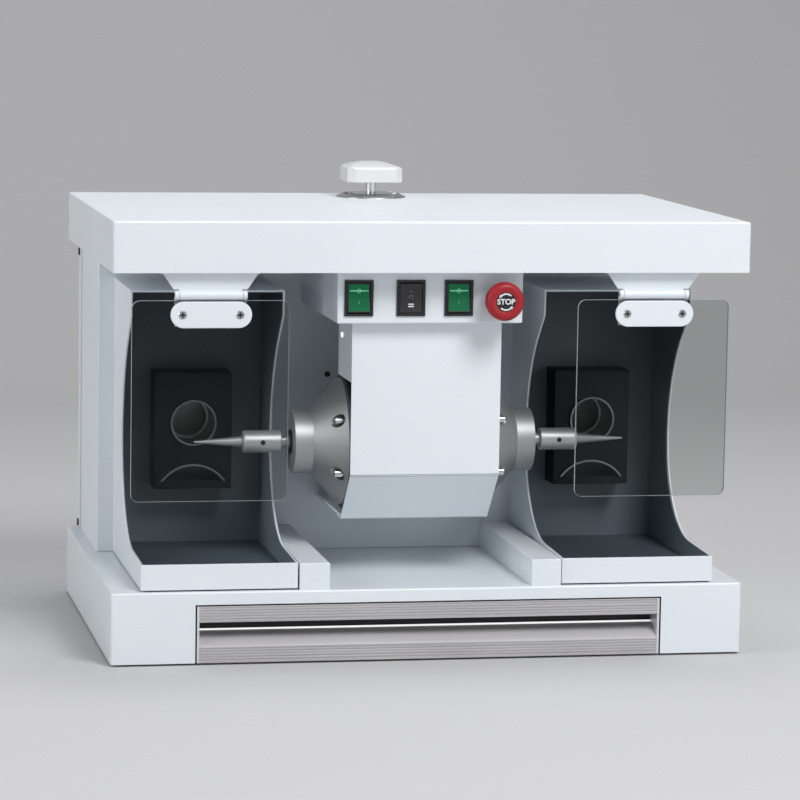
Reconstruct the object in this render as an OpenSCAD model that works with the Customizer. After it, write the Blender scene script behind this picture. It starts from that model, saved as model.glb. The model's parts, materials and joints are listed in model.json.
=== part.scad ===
// Bench polishing lathe with two hooded work places, dust extraction and a drawer.
// X runs along the spindle, -Y is the user's side, +Z is up; the origin is the middle
// of the footprint on the table. All lengths are in millimetres.

/* [Base] */
// Width of the base and of the top cover
unit_w = 640; // [600:5:720]
// Depth of the base and of the top cover
unit_d = 424; // [410:2:480]
// Height of the base's top face above the table
base_h = 73; // [70:1:90]
// Thickness of the folded sheet of base, column and cover
sheet_t = 1.5; // [1.2:0.1:2]
// Radius of the upright corners of base and cover
corner_r = 3; // [2:0.5:5]
// Thickness of the bottom plate
plate_t = 2; // [1.5:0.5:3]
// Height of the rubber feet below the base
foot_h = 2; // [1.5:0.5:5]
// Radius of a rubber foot
foot_r = 16; // [10:1:20]
// Distance of a foot's centre from the base's side and rear
foot_inset = 34; // [25:1:50]
// Width of the two raised rails on the base
rail_w = 30; // [24:1:34]
// Height of the rails
rail_h = 27; // [20:1:30]
// Distance from the middle plane to a rail's inner side
rail_x = 102.5; // [100:0.5:103]
// Distance of the rails and hoods behind the base's front face
front_setback = 2; // [1:0.5:6]

/* [Column and cover] */
// Height of the column between base and cover
column_h = 314.5; // [314:0.5:330]
// Depth of the column behind its front wall
column_d = 174; // [168:1:180]
// Distance of the column's side walls inside the base's sides
column_inset = 13; // [12:0.5:14]
// Distance of the column's rear face in front of the base's rear face
column_rear_gap = 2; // [2:0.5:4]
// Length of the rear panel's flanges on the column's sides
flange_w = 15; // [12:1:20]
// Height of the top cover
cover_h = 50.5; // [45:0.5:60]
// Width of one exhaust slot
louvre_w = 3; // [2:0.5:4]
// Number of exhaust slots
louvre_n = 14; // [8:1:16]

/* [Hoods] */
// Width of a hood outside
hood_w = 156; // [150:1:158]
// Distance from the middle plane to a hood's centre
hood_x = 212; // [212:0.5:214]
// Height of the hood's top above the base
hood_h = 288; // [284:1:290]
// Thickness of the hood's sheet
hood_t = 2; // [1.5:0.1:2.5]
// Thickness of the dark lining
lining_t = 1; // [0.8:0.1:1.5]
// Gap between a hood and what it stands beside
hood_gap = 1.5; // [1:0.1:1.5]
// Height of the tray's front lip above the base
lip_h = 27; // [22:0.5:30]
// Height of the tray's floor above the base
tray_floor_h = 10; // [8:0.5:12]
// How far the hood's side walls stand forward of the column at mid height
mouth_d = 67; // [60:1:75]
// Height of the mouth's deepest point above the base
mouth_h = 127; // [120:1:135]
// Radius of the side wall's edge above mid height
mouth_upper_r = 150; // [145:1:170]
// Radius of the side wall's edge below mid height
mouth_lower_r = 98; // [90:1:99]
// How far the hood's top stands forward of the column
brow_d = 143; // [138:1:148]
// Height of the upright part of the edge under the top
brow_h = 27; // [20:1:32]

/* [Suction] */
// Width of the suction box on the hood's rear wall
duct_w = 80.5; // [70:0.5:90]
// Height of the suction box
duct_h = 121; // [110:1:122]
// Depth of the suction box
duct_d = 38; // [30:1:42]
// Height of the suction box's lower end above the base
duct_z = 72; // [68:1:76]
// Bore radius of the round suction mouth
mouth_r = 22; // [18:0.5:23]
// Wall thickness of the suction mouth's tube
tube_t = 2; // [1.5:0.1:2]
// Height of the suction mouth's centre above the base
mouth_z = 141; // [138:0.5:144]
// Width of the opening that joins suction box and column
port_w = 50; // [30:1:60]
// Height of the opening that joins suction box and column
port_h = 13; // [8:0.5:14]
// Radius of the arched slot's bright edge
arch_r = 41; // [36:0.5:42]
// Height of the arch's top above the base
arch_top_z = 98; // [92:0.5:100]

/* [Shields] */
// Distance from the middle plane to a shield's centre
shield_x = 223; // [220:0.5:226]
// Width of a clear shield
shield_w = 155; // [150:1:160]
// Height of a clear shield
shield_h = 198; // [150:1:200]
// Thickness of a clear shield
shield_t = 4; // [3:0.5:4]
// Radius of a shield's corners
shield_r = 8; // [4:0.5:12]
// Width of a hinge
hinge_w = 71; // [60:1:76]
// Radius of the rolled hinge barrel
barrel_r = 4.5; // [4:0.1:4.5]
// Radius of the hinge pin
pin_r = 2; // [1.5:0.1:2.2]
// Length of one ear of the hinge leaf
ear_l = 4; // [3:0.5:6]
// Height of the pin's centre below the cover
pin_drop = 22.2; // [20:0.1:24]
// Distance of the pin's centre behind the cover's front face
pin_back = 8; // [7:0.1:9]
// Width of the hinge bracket at the cover
bracket_w = 96; // [90:1:110]
// Thickness of bracket, leaf and other hinge plates
hinge_t = 2; // [1.5:0.1:2]
// Width of the clamp plate with round ends
clamp_w = 80; // [74:1:90]
// Height of the clamp plate
clamp_h = 26; // [22:1:30]
// Thickness of the clamp plate
clamp_t = 3.5; // [2:0.1:3.5]
// Distance between the two clamp screws
clamp_pitch = 56.5; // [45:0.5:60]
// Shank radius of the clamp screws
clamp_screw_r = 2; // [1.5:0.1:2.5]

/* [Control panel] */
// Width of the control panel box
panel_w = 188; // [186:1:196]
// Height of the control panel box
panel_h = 53; // [50:0.5:56]
// Distance of the panel's face behind the cover's front face
panel_back = 30; // [28:0.5:34]
// Width of a switch's frame
switch_w = 29; // [27:0.5:31]
// Height of a switch's frame
switch_h = 36; // [33:0.5:38]
// How far a switch's frame stands out of the panel
switch_lip = 2; // [1:0.1:2.5]
// Wall of a switch's frame beside the rocker
switch_wall = 3; // [2.8:0.1:3.5]
// Place of the left, middle and right switch along the panel
switch_places = [-72.5, -20, 28.5];
// Height of switches and stop button above the panel's lower edge
switch_z = 25.5; // [22:0.5:27]
// Angle by which a rocker tips from its middle position
rocker_tip = 7; // [4:0.5:8]
// Place of the stop button along the panel
stop_x = 70.4; // [68:0.2:72]
// Height of the stop button's centre above the panel's lower edge
stop_z = 24; // [22:0.5:27]
// Radius of the stop button's head
stop_r = 19.3; // [17:0.1:19.5]
// Length of the stop button's head along its axis
stop_head_l = 15; // [12:0.5:15]
// Radius of the stop button's stem
stop_stem_r = 6; // [5:0.1:7]
// Travel of the stop button
stop_travel = 4; // [3:0.5:4]

/* [Motor] */
// Height of the spindle's axis above the base
axis_h = 132.5; // [130:0.5:135]
// Distance of the spindle's axis behind the motor cover's front sheet
axis_back = 77; // [75:1:80]
// Radius of the motor's housing
motor_r = 64.5; // [62:0.5:66]
// Wall of the motor's housing
motor_wall = 4; // [3:0.5:5]
// Length of the motor's housing between the bells
motor_l = 144; // [130:1:150]
// Distance from the middle plane to the end of a bell's nose
nose_x = 124; // [122:0.5:126]
// Length of a bell's round nose
nose_l = 19; // [17:0.5:22]
// Radius of a bell's nose
nose_r = 32.3; // [30:0.1:34]
// Outer radius of a motor bearing
bearing_r = 23.5; // [22:0.5:24]
// Width of a motor bearing
bearing_w = 14; // [12:0.5:15]
// Radius of the shaft in the bearings
shaft_r = 10; // [8:0.5:11]
// Radius of the shaft's ends, which carry the tapers
stub_r = 6; // [5:0.1:7]
// Running clearance of shafts and pins, radial
running_gap = 0.05; // [0.02:0.01:0.08]
// Radius of the tie bolts' circle
tie_circle_r = 55; // [54:0.1:55.5]
// Shank radius of a tie bolt
tie_r = 2.5; // [2:0.1:2.6]
// Angle of the tie bolts above and below the level through the axis
tie_angle = 29; // [24:1:34]
// Radius of the rotor
rotor_r = 35; // [30:0.5:40]
// Air gap between rotor and stator
rotor_gap = 0.75; // [0.5:0.05:1]
// Length of rotor and stator
rotor_l = 80; // [60:1:90]
// Radius of a taper's collar
collar_r = 11.3; // [9:0.1:12]
// Distance from the middle plane to a collar's inner end
collar_x = 134.5; // [133:0.1:136]
// Length of a collar
collar_l = 38.8; // [36:0.1:44]
// Radius of a taper at its collar
taper_r = 5.6; // [5:0.1:6]
// Length of a taper in front of its collar
taper_l = 50; // [45:1:58]
// Radius of a taper at its tip
taper_tip_r = 1; // [0.8:0.1:2]
// Radius of a collar's set screw
set_screw_r = 2.5; // [2:0.1:2.8]
// Width of the sheet in front of the motor
guard_w = 152; // [140:1:156]
// Distance of that sheet's upright part behind the panel's face
guard_back = 14; // [12:0.5:18]
// Height of that sheet's fold above the base
guard_fold_h = 107; // [104:0.5:110]
// Distance of that sheet's lower edge behind its upright part
guard_slope_d = 52; // [48:1:54]
// Height of that sheet's lower edge above the base
guard_h = 55.7; // [54:0.1:58]
// Thickness of the shelf that carries the motor
shelf_t = 3; // [2.5:0.1:3.2]
// Width of the shelf that carries the motor
shelf_w = 150; // [130:1:152]
// Width of the saddle between shelf and motor
saddle_w = 84; // [60:1:100]

/* [Drawer] */
// Width of the drawer's front
drawer_w = 469.6; // [440:0.2:480]
// Height of the drawer's front
drawer_h = 56.6; // [54:0.2:58]
// Gap round the drawer's front
drawer_gap = 1.5; // [1:0.1:2]
// Depth of the drawer's front section
front_t = 33; // [30:1:36]
// Thickness of the caps on the drawer front's ends
cap_t = 2.4; // [1.5:0.1:3]
// Depth of the finger recess
recess_d = 26; // [22:0.5:27]
// Height of the ribbed bands above and below the recess
band_h = 15.9; // [13:0.1:16]
// Depth of the ribs' grooves
rib_d = 0.4; // [0.2:0.1:0.8]
// Number of grooves on each band
rib_n = 5; // [3:1:6]
// Width of the drawer's box
box_w = 446; // [420:1:446]
// Depth of the drawer's box
box_d = 340; // [280:5:350]
// Height of the drawer's box
box_h = 44; // [36:1:46]
// Wall of the drawer's box
box_t = 2; // [1.5:0.1:3]
// Height of a drawer slide
slide_h = 12; // [10:0.5:14]
// Width of a drawer slide
slide_w = 9; // [7:0.5:9]

/* [Extraction] */
// Radius of the fan's housing
fan_r = 74; // [68:1:75]
// Depth of the fan's housing
fan_d = 76; // [66:1:78]
// Outer radius of the impeller
impeller_r = 62; // [54:1:62]
// Number of impeller blades
blade_n = 24; // [12:1:32]
// Width of the filter cassette
filter_w = 300; // [240:5:320]
// Depth of the filter cassette
filter_d = 140; // [120:2:144]
// Height of the filter cassette
filter_h = 58; // [40:1:60]
// Number of folds in the filter
fold_n = 20; // [10:1:24]
// Height of the filter's shelf above the base
filter_shelf_h = 187; // [184:1:190]
// Height of the plenum's lowest part above the base
plenum_low_h = 112; // [108:1:116]
// Height of the plenum's step above the base
plenum_step_h = 156; // [152:1:160]
// Radius of the fan's motor
fan_motor_r = 27; // [22:1:30]
// Radius of the fan's inlet
fan_inlet_r = 42; // [36:1:44]

/* [Shaker knob] */
// Distance of the knob's axis in front of the cover's rear face
knob_back = 62; // [58:1:70]
// Width of the knob
knob_w = 60; // [54:0.5:64]
// Width of the knob's cut corners, measured along its sides
knob_corner = 8; // [6:0.5:12]
// Height of the knob's upright side
knob_side_h = 15; // [12:0.5:18]
// Rise of the knob's domed top
knob_dome_h = 7; // [5:0.5:9]
// Free length of the rod between cover and knob
knob_lift = 17; // [16:0.5:20]
// Radius of the knob's rod
rod_r = 5.5; // [4:0.1:6]
// Radius of the ring on the cover
ring_r = 37.6; // [34:0.2:40]
// Height of the ring on the cover
ring_h = 5; // [3:0.1:6]
// Travel of the knob
knob_travel = 10; // [6:0.5:11]

/* [Power inlet] */
// Width of the inlet's body
inlet_w = 28; // [24:0.5:30]
// Height of the inlet's body
inlet_h = 48; // [44:0.5:50]
// Place of the inlet along the rear panel
inlet_x = -220; // [-240:1:-180]
// Height of the inlet's centre above the base
inlet_z = 60; // [50:1:70]

/* [Hidden] */
$fn = 64;

// Levels and planes that several pieces share
fit_gap = 0.2;
front_y = -unit_d / 2;
rear_y = unit_d / 2;
column_rear_y = rear_y - column_rear_gap;
column_y = column_rear_y - column_d;
column_x = unit_w / 2 - column_inset;
cover_z = base_h + column_h;
cover_top_z = cover_z + cover_h;
rails_y = front_y + front_setback;
hood_front_y = front_y + front_setback + 3;
hood_bottom_z = base_h + hood_gap;
hood_top_z = base_h + hood_h;
tray_floor_z = base_h + tray_floor_h;
lip_top_z = base_h + lip_h;
axis_z = base_h + axis_h;
panel_y = front_y + panel_back;
guard_y = panel_y + guard_back;
axis_y = guard_y + axis_back;
panel_z = cover_z - panel_h;
switch_mid_z = panel_z + switch_z;
stop_mid_z = panel_z + stop_z;
pin_y = front_y + pin_back;
pin_z = cover_z - pin_drop;
knob_y = rear_y - knob_back;

// Drawing helpers: a 2D outline pushed along one axis, and round bars along an axis
module along_x(x0, x1) {
    translate([x0, 0, 0]) rotate([90, 0, 90]) linear_extrude(height = x1 - x0) children();
}
module along_y(y0, y1) {
    translate([0, y1, 0]) rotate([90, 0, 0]) linear_extrude(height = y1 - y0) children();
}
module along_z(z0, z1) {
    translate([0, 0, z0]) linear_extrude(height = z1 - z0) children();
}
module block(low, high) {
    translate(low) cube(high - low);
}
module bar_x(x0, x1, y, z, r) {
    translate([x0, y, z]) rotate([0, 90, 0]) cylinder(h = x1 - x0, r = r);
}
module bar_y(y0, y1, x, z, r) {
    translate([x, y0, z]) rotate([-90, 0, 0]) cylinder(h = y1 - y0, r = r);
}
module bar_z(z0, z1, x, y, r) {
    translate([x, y, z0]) cylinder(h = z1 - z0, r = r);
}
module turned_x(points) {
    rotate([0, 90, 0]) rotate_extrude() polygon(points);
}
module round_rect(w, h, r) {
    square([w, h - 2 * r], center = true);
    square([w - 2 * r, h], center = true);
    for (x = [-1, 1], y = [-1, 1]) translate([x * (w / 2 - r), y * (h / 2 - r)]) circle(r = r);
}
module stadium(w, h) {
    square([w - h, h], center = true);
    for (x = [-1, 1]) translate([x * (w - h) / 2, 0]) circle(d = h);
}
module both_sides() {
    children();
    mirror([1, 0, 0]) children();
}
function arc(cy, cz, r, from, to, n) =
    [for (i = [0:n]) let (a = from + (to - from) * i / n) [cy + r * cos(a), cz + r * sin(a)]];

// ---- Base
notch_half_w = drawer_w / 2 + drawer_gap;
drawer_top_z = foot_h + drawer_h;
front_rear_y = front_y + front_t;
foot_stem_r = 4;
foot_front_x = unit_w / 2 - foot_inset;

module inner_outline() {
    round_rect(unit_w - 2 * sheet_t, unit_d - 2 * sheet_t, corner_r - sheet_t / 2);
}
module base_shell() {
    color("whitesmoke") difference() {
        along_z(foot_h, base_h) round_rect(unit_w, unit_d, corner_r);
        along_z(foot_h - 1, base_h - sheet_t) inner_outline();
        block([-notch_half_w, front_y - 1, foot_h - 1],
              [notch_half_w, front_y + sheet_t + 1, drawer_top_z + drawer_gap]);
    }
}
module base_plate() {
    color("silver") difference() {
        along_z(foot_h, foot_h + plate_t) inner_outline();
        block([-notch_half_w, front_y, foot_h - 1],
              [notch_half_w, front_rear_y + drawer_gap, foot_h + plate_t + 1]);
        foot_places() bar_z(foot_h - 1, foot_h + plate_t + 1, 0, 0, foot_stem_r + fit_gap / 2);
    }
}
module foot_places() {
    for (x = [-1, 1], y = [front_y + foot_inset, rear_y - foot_inset])
        translate([x * foot_front_x, y, 0]) children();
}
module rubber_feet() {
    color("dimgray") foot_places() {
        bar_z(0, foot_h, 0, 0, foot_r);
        bar_z(foot_h - 0.5, foot_h + plate_t + 2, 0, 0, foot_stem_r);
    }
}
module base_rails() {
    color("whitesmoke") both_sides() difference() {
        block([rail_x, rails_y, base_h], [rail_x + rail_w, column_y, base_h + rail_h]);
        block([rail_x + sheet_t, rails_y + sheet_t, base_h - 1],
              [rail_x + rail_w - sheet_t, column_y - sheet_t, base_h + rail_h - sheet_t]);
    }
}

// ---- Column and rear cover
side_screw_r = 2;
side_screw_y = column_rear_y - flange_w / 2;
side_screw_z = [base_h + 6, cover_z - 13];
plug_x = 65;
plug_z = base_h + 186;
plug_r = 1.5;
louvre_pitch = 10;
louvre_half_l = 60;
louvre_mid_z = base_h + 77;
bolt_r = 2.5;

module column_shell() {
    color("whitesmoke") difference() {
        block([-column_x, column_y, base_h], [column_x, column_rear_y - sheet_t, cover_z]);
        block([-column_x + sheet_t, column_y + sheet_t, base_h - 1],
              [column_x - sheet_t, column_rear_y + 1, cover_z + 1]);
        both_sides() wall_openings();
        both_sides() for (z = side_screw_z)
            bar_x(column_x - sheet_t - 1, column_x + 1, side_screw_y, z, side_screw_r + fit_gap);
        shelf_bolt_places() bar_y(column_y - 1, column_y + sheet_t + 1, 0, 0, bolt_r + fit_gap);
        both_sides() bar_y(column_y - 1, column_y + sheet_t + 1, plug_x, plug_z, plug_r + 0.05);
    }
}
module rear_cover() {
    flange_x = column_x + fit_gap;
    color("whitesmoke") difference() {
        block([-flange_x - sheet_t, column_rear_y - flange_w, base_h + fit_gap],
              [flange_x + sheet_t, column_rear_y, cover_z - fit_gap]);
        block([-flange_x, column_rear_y - flange_w - 1, base_h - 1],
              [flange_x, column_rear_y - sheet_t, cover_z + 1]);
        for (i = [0:louvre_n - 1])
            translate([0, 0, louvre_mid_z + (i - (louvre_n - 1) / 2) * louvre_pitch])
                along_y(column_rear_y - sheet_t - 1, column_rear_y + 1)
                    stadium(2 * louvre_half_l, louvre_w);
        block([inlet_x - inlet_w / 2 - fit_gap, rear_y - 20, base_h + inlet_z - inlet_h / 2 - fit_gap],
              [inlet_x + inlet_w / 2 + fit_gap, rear_y, base_h + inlet_z + inlet_h / 2 + fit_gap]);
        both_sides() for (z = side_screw_z)
            bar_x(column_x, flange_x + sheet_t + 1, side_screw_y, z, side_screw_r + fit_gap / 2);
    }
}
module housing_screws() {
    head_x = column_x + fit_gap + sheet_t;
    color("dimgray") {
        both_sides() for (z = side_screw_z) {
            bar_x(column_x - 5, head_x, side_screw_y, z, side_screw_r);
            bar_x(head_x, head_x + 1.6, side_screw_y, z, 2 * side_screw_r);
        }
        both_sides() {
            bar_x(guard_w / 2 - sheet_t - tab_t - 4, guard_w / 2, guard_screw_y, guard_screw_z,
                  guard_screw_r);
            bar_x(guard_w / 2, guard_w / 2 + 1.6, guard_screw_y, guard_screw_z, 1.8 * guard_screw_r);
        }
        shelf_bolt_places() {
            bar_y(column_y - shelf_t - 4, column_y - shelf_t, 0, 0, 1.8 * bolt_r);
            bar_y(column_y - shelf_t - 1, column_y + sheet_t + 6, 0, 0, bolt_r);
        }
        both_sides() {
            bar_y(column_y - 1.6, column_y, plug_x, plug_z, 2 * plug_r);
            bar_y(column_y - 1, column_y + sheet_t, plug_x, plug_z, plug_r);
        }
    }
}

// ---- Top cover
module top_cover() {
    color("whitesmoke") difference() {
        along_z(cover_z, cover_top_z) round_rect(unit_w, unit_d, corner_r);
        along_z(cover_z - 1, cover_top_z - sheet_t) inner_outline();
        bar_z(cover_top_z - sheet_t - 1, cover_top_z + 1, 0, knob_y, rod_r + fit_gap);
    }
}
module cover_floor() {
    color("silver") difference() {
        along_z(cover_z, cover_z + sheet_t) inner_outline();
        bar_z(cover_z - 1, cover_z + sheet_t + 1, 0, knob_y, rod_r + fit_gap);
    }
}

// ---- Hoods
hood_in_x = hood_x - hood_w / 2;
hood_out_x = hood_x + hood_w / 2;
mouth_y = column_y - mouth_d;
mouth_mid_z = base_h + mouth_h;
mouth_arc_end = 45;
lining_y = column_y - hood_t - lining_t;
port_z = base_h + mouth_z + mouth_r + tube_t + 4;

module hood_outline() {
    polygon(concat(
        [[column_y, hood_bottom_z], [hood_front_y, hood_bottom_z], [hood_front_y, lip_top_z]],
        arc(mouth_y - mouth_lower_r, mouth_mid_z, mouth_lower_r, -90, 0, 16),
        arc(mouth_y - mouth_upper_r, mouth_mid_z, mouth_upper_r, 3, mouth_arc_end, 10),
        [[column_y - brow_d + 1.5, hood_top_z - brow_h], [column_y - brow_d, hood_top_z],
         [column_y, hood_top_z]]));
}
module wall_openings() {
    bar_y(lining_y - 1, column_y + sheet_t + 1, hood_x, base_h + mouth_z, mouth_r + tube_t + fit_gap);
    block([hood_x - port_w / 2, lining_y - 1, port_z],
          [hood_x + port_w / 2, column_y + sheet_t + 1, port_z + port_h]);
}
module right_hood() {
    color("whitesmoke") difference() {
        along_x(hood_in_x, hood_out_x) hood_outline();
        block([hood_in_x + hood_t, hood_front_y + hood_t, tray_floor_z],
              [hood_out_x - hood_t, column_y - hood_t, hood_top_z - hood_t]);
        block([hood_in_x + hood_t, hood_front_y + hood_t, hood_bottom_z - 1],
              [hood_out_x - hood_t, column_y - hood_t, tray_floor_z - hood_t]);
        wall_openings();
    }
}
module left_hood() {
    mirror([1, 0, 0]) right_hood();
}
module hood_linings() {
    in_x = hood_in_x + hood_t;
    out_x = hood_out_x - hood_t;
    color("darkslategray") both_sides() difference() {
        intersection() {
            translate([0, hood_t, 0]) along_x(in_x, out_x) hood_outline();
            block([in_x, hood_front_y + hood_t, tray_floor_z],
                  [out_x, column_y - hood_t, hood_top_z - hood_t]);
        }
        block([in_x + lining_t, hood_front_y - 1, tray_floor_z + lining_t],
              [out_x - lining_t, column_y - hood_t - lining_t, hood_top_z - hood_t - lining_t]);
        wall_openings();
    }
}

// ---- Suction box and mouth in each hood
duct_front_y = lining_y - duct_d;
duct_low_z = base_h + duct_z;
arch_mid_z = base_h + arch_top_z - arch_r;
arch_t = 2;
tube_proud = 3;

module suction_boxes() {
    low_x = hood_x - duct_w / 2;
    high_x = hood_x + duct_w / 2;
    color("darkslategray") both_sides() difference() {
        block([low_x, duct_front_y, duct_low_z], [high_x, lining_y, duct_low_z + duct_h]);
        block([low_x + sheet_t, duct_front_y + sheet_t, duct_low_z + sheet_t],
              [high_x - sheet_t, lining_y + 1, duct_low_z + duct_h - sheet_t]);
        bar_y(duct_front_y - 1, duct_front_y + sheet_t + 1, hood_x, base_h + mouth_z,
              mouth_r + tube_t + fit_gap);
        intersection() {
            bar_y(duct_front_y - 1, duct_front_y + sheet_t + 1, hood_x, arch_mid_z, arch_r - arch_t);
            block([low_x + 2 * sheet_t, duct_front_y - 1, duct_low_z + 8],
                  [high_x - 2 * sheet_t, duct_front_y + sheet_t + 1, duct_low_z + duct_h]);
        }
    }
}
module suction_mouths() {
    tube_end_y = column_y + 8;
    color("silver") both_sides() {
        difference() {
            bar_y(duct_front_y - tube_proud, tube_end_y, hood_x, base_h + mouth_z, mouth_r + tube_t);
            bar_y(duct_front_y - tube_proud - 1, tube_end_y - 2, hood_x, base_h + mouth_z, mouth_r);
            bar_y(duct_front_y, tube_end_y + 1, hood_x, base_h + mouth_z, mouth_r - tube_t);
        }
        difference() {
            bar_y(duct_front_y - 3, duct_front_y, hood_x, arch_mid_z, arch_r);
            bar_y(duct_front_y - 4, duct_front_y + 1, hood_x, arch_mid_z, arch_r - arch_t);
            block([hood_x - arch_r - 1, duct_front_y - 4, arch_mid_z - arch_r - 1],
                  [hood_x + arch_r + 1, duct_front_y + 1, duct_low_z + 8]);
        }
    }
}

// ---- Shield hinges
bracket_y = pin_y + barrel_r - hinge_t;
bracket_lap = 16;
leaf_y = bracket_y;
shield_y = leaf_y - shield_t;
clamp_y = shield_y - clamp_t;
swing_gap = 0.8;
shield_top_z = pin_z - barrel_r - swing_gap;
clamp_mid_z = shield_top_z - 0.7 - clamp_h / 2;
ear_gap = 0.3;
barrel_half_l = hinge_w / 2 - ear_l - ear_gap;
bracket_shoulder_z = pin_z + barrel_r + swing_gap;

module hinge_brackets() {
    color("whitesmoke") both_sides() translate([shield_x, 0, 0]) difference() {
        union() {
            along_y(bracket_y, bracket_y + hinge_t) polygon([
                [-bracket_w / 2, cover_z], [bracket_w / 2, cover_z],
                [hinge_w / 2 + 1, bracket_shoulder_z], [-hinge_w / 2 - 1, bracket_shoulder_z]]);
            block([-barrel_half_l, bracket_y, pin_z],
                  [barrel_half_l, bracket_y + hinge_t, bracket_shoulder_z]);
            block([-bracket_w / 2, bracket_y, cover_z - hinge_t],
                  [bracket_w / 2, bracket_y + bracket_lap, cover_z]);
            bar_x(-barrel_half_l, barrel_half_l, pin_y, pin_z, barrel_r);
        }
        bar_x(-hinge_w, hinge_w, pin_y, pin_z, pin_r + 0.01);
    }
}
module hinge_pins() {
    color("silver") both_sides()
        bar_x(shield_x - hinge_w / 2 - 0.5, shield_x + hinge_w / 2 + 0.5, pin_y, pin_z, pin_r);
}
module right_shield_leaf() {
    ear_x = hinge_w / 2 - ear_l;
    leaf_low_z = clamp_mid_z - clamp_h / 2 + 1;
    color("whitesmoke") translate([shield_x, 0, 0]) difference() {
        union() {
            block([-hinge_w / 2, leaf_y, leaf_low_z], [hinge_w / 2, leaf_y + hinge_t, shield_top_z]);
            for (side = [-1, 1]) {
                low = side > 0 ? ear_x : -hinge_w / 2;
                block([low, leaf_y, shield_top_z - 1], [low + ear_l, leaf_y + hinge_t, pin_z]);
                bar_x(low, low + ear_l, pin_y, pin_z, barrel_r);
            }
        }
        bar_x(-hinge_w, hinge_w, pin_y, pin_z, pin_r + running_gap);
        clamp_screw_holes();
    }
}
module left_shield_leaf() {
    mirror([1, 0, 0]) right_shield_leaf();
}
module clamp_screw_holes() {
    for (side = [-1, 1])
        bar_y(clamp_y - 1, leaf_y + hinge_t + 1, side * clamp_pitch / 2, clamp_mid_z, clamp_screw_r + 0.05);
}
module right_shield() {
    color([0.8, 0.85, 0.9, 0.35]) translate([shield_x, 0, 0]) difference() {
        translate([0, 0, shield_top_z - shield_h / 2])
            along_y(shield_y, shield_y + shield_t) round_rect(shield_w, shield_h, shield_r);
        clamp_screw_holes();
    }
}
module left_shield() {
    mirror([1, 0, 0]) right_shield();
}
module right_clamp_plate() {
    color("whitesmoke") translate([shield_x, 0, 0]) difference() {
        translate([0, 0, clamp_mid_z]) along_y(clamp_y, clamp_y + clamp_t) stadium(clamp_w, clamp_h);
        clamp_screw_holes();
    }
}
module left_clamp_plate() {
    mirror([1, 0, 0]) right_clamp_plate();
}
module right_clamp_screws() {
    color("silver") translate([shield_x, 0, 0]) for (side = [-1, 1]) difference() {
        union() {
            bar_y(clamp_y - 0.8, clamp_y, side * clamp_pitch / 2, clamp_mid_z, 2 * clamp_screw_r);
            bar_y(clamp_y - 0.2, leaf_y + hinge_t + 0.5, side * clamp_pitch / 2, clamp_mid_z, clamp_screw_r);
        }
        translate([side * clamp_pitch / 2, clamp_y - 1, clamp_mid_z]) {
            cube([2.2 * clamp_screw_r, 1.2, 0.7], center = true);
            cube([0.7, 1.2, 2.2 * clamp_screw_r], center = true);
        }
    }
}
module left_clamp_screws() {
    mirror([1, 0, 0]) right_clamp_screws();
}

// ---- Control panel
switch_body_w = switch_w - 1;
switch_body_h = switch_h - 2;
switch_depth = 22;
rocker_w = switch_w - 2 * switch_wall - 0.6;
rocker_end_r = 15.2 * switch_h / 36;
rocker_face = 3;
rocker_pivot_y = panel_y - switch_lip + 1.5 + rocker_face;
trunnion_r = 1.5;
thread_r = 11;
stop_front_y = front_y + 0.5;
stop_collar_y = panel_y - 6;

module control_panel() {
    color("whitesmoke") difference() {
        block([-panel_w / 2, panel_y, panel_z], [panel_w / 2, column_y, cover_z]);
        block([-panel_w / 2 + sheet_t, panel_y + sheet_t, panel_z + sheet_t],
              [panel_w / 2 - sheet_t, column_y + 1, cover_z + 1]);
        for (x = switch_places) translate([x, 0, switch_mid_z])
            block([-switch_body_w / 2 - 0.1, panel_y - 1, -switch_body_h / 2 - 0.1],
                  [switch_body_w / 2 + 0.1, panel_y + sheet_t + 1, switch_body_h / 2 + 0.1]);
        bar_y(panel_y - 1, panel_y + sheet_t + 1, stop_x, stop_mid_z, thread_r + fit_gap);
    }
    tab_x = guard_w / 2 - sheet_t;
    color("whitesmoke") both_sides() difference() {
        block([tab_x - tab_t, guard_screw_y - 10, guard_screw_z - 9],
              [tab_x, guard_screw_y + 10, panel_z + 0.5]);
        bar_x(tab_x - tab_t - 1, tab_x + 1, guard_screw_y, guard_screw_z, guard_screw_r);
    }
}
module switch_frames() {
    color("black") for (x = switch_places) translate([x, 0, switch_mid_z]) difference() {
        union() {
            block([-switch_w / 2, panel_y - switch_lip, -switch_h / 2],
                  [switch_w / 2, panel_y, switch_h / 2]);
            block([-switch_body_w / 2, panel_y - 0.5, -switch_body_h / 2],
                  [switch_body_w / 2, panel_y + switch_depth, switch_body_h / 2]);
            for (side = [-1, 1]) translate([side * 6, 0, 0])
                block([-2.4, panel_y + switch_depth - 0.5, -0.4], [2.4, panel_y + switch_depth + 8, 0.4]);
        }
        block([-rocker_w / 2 - 0.3, panel_y - switch_lip - 1, -rocker_end_r - 0.3],
              [rocker_w / 2 + 0.3, panel_y + switch_depth - 1.5, rocker_end_r + 0.3]);
        bar_x(-rocker_w / 2 - 1.7, rocker_w / 2 + 1.7, rocker_pivot_y, 0, trunnion_r + running_gap);
    }
}
module rocker(place, tip) {
    translate([place, rocker_pivot_y, switch_mid_z]) rotate([tip, 0, 0]) {
        intersection() {
            bar_x(-rocker_w / 2, rocker_w / 2, 0, 0, rocker_end_r);
            along_x(-rocker_w / 2, rocker_w / 2) polygon([
                [-rocker_face, 0], [-rocker_face - rocker_end_r * tan(rocker_tip), rocker_end_r],
                [3, rocker_end_r], [3, -rocker_end_r],
                [-rocker_face - rocker_end_r * tan(rocker_tip), -rocker_end_r]]);
        }
        bar_x(-rocker_w / 2 - 1.5, rocker_w / 2 + 1.5, 0, 0, trunnion_r);
    }
}
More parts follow.
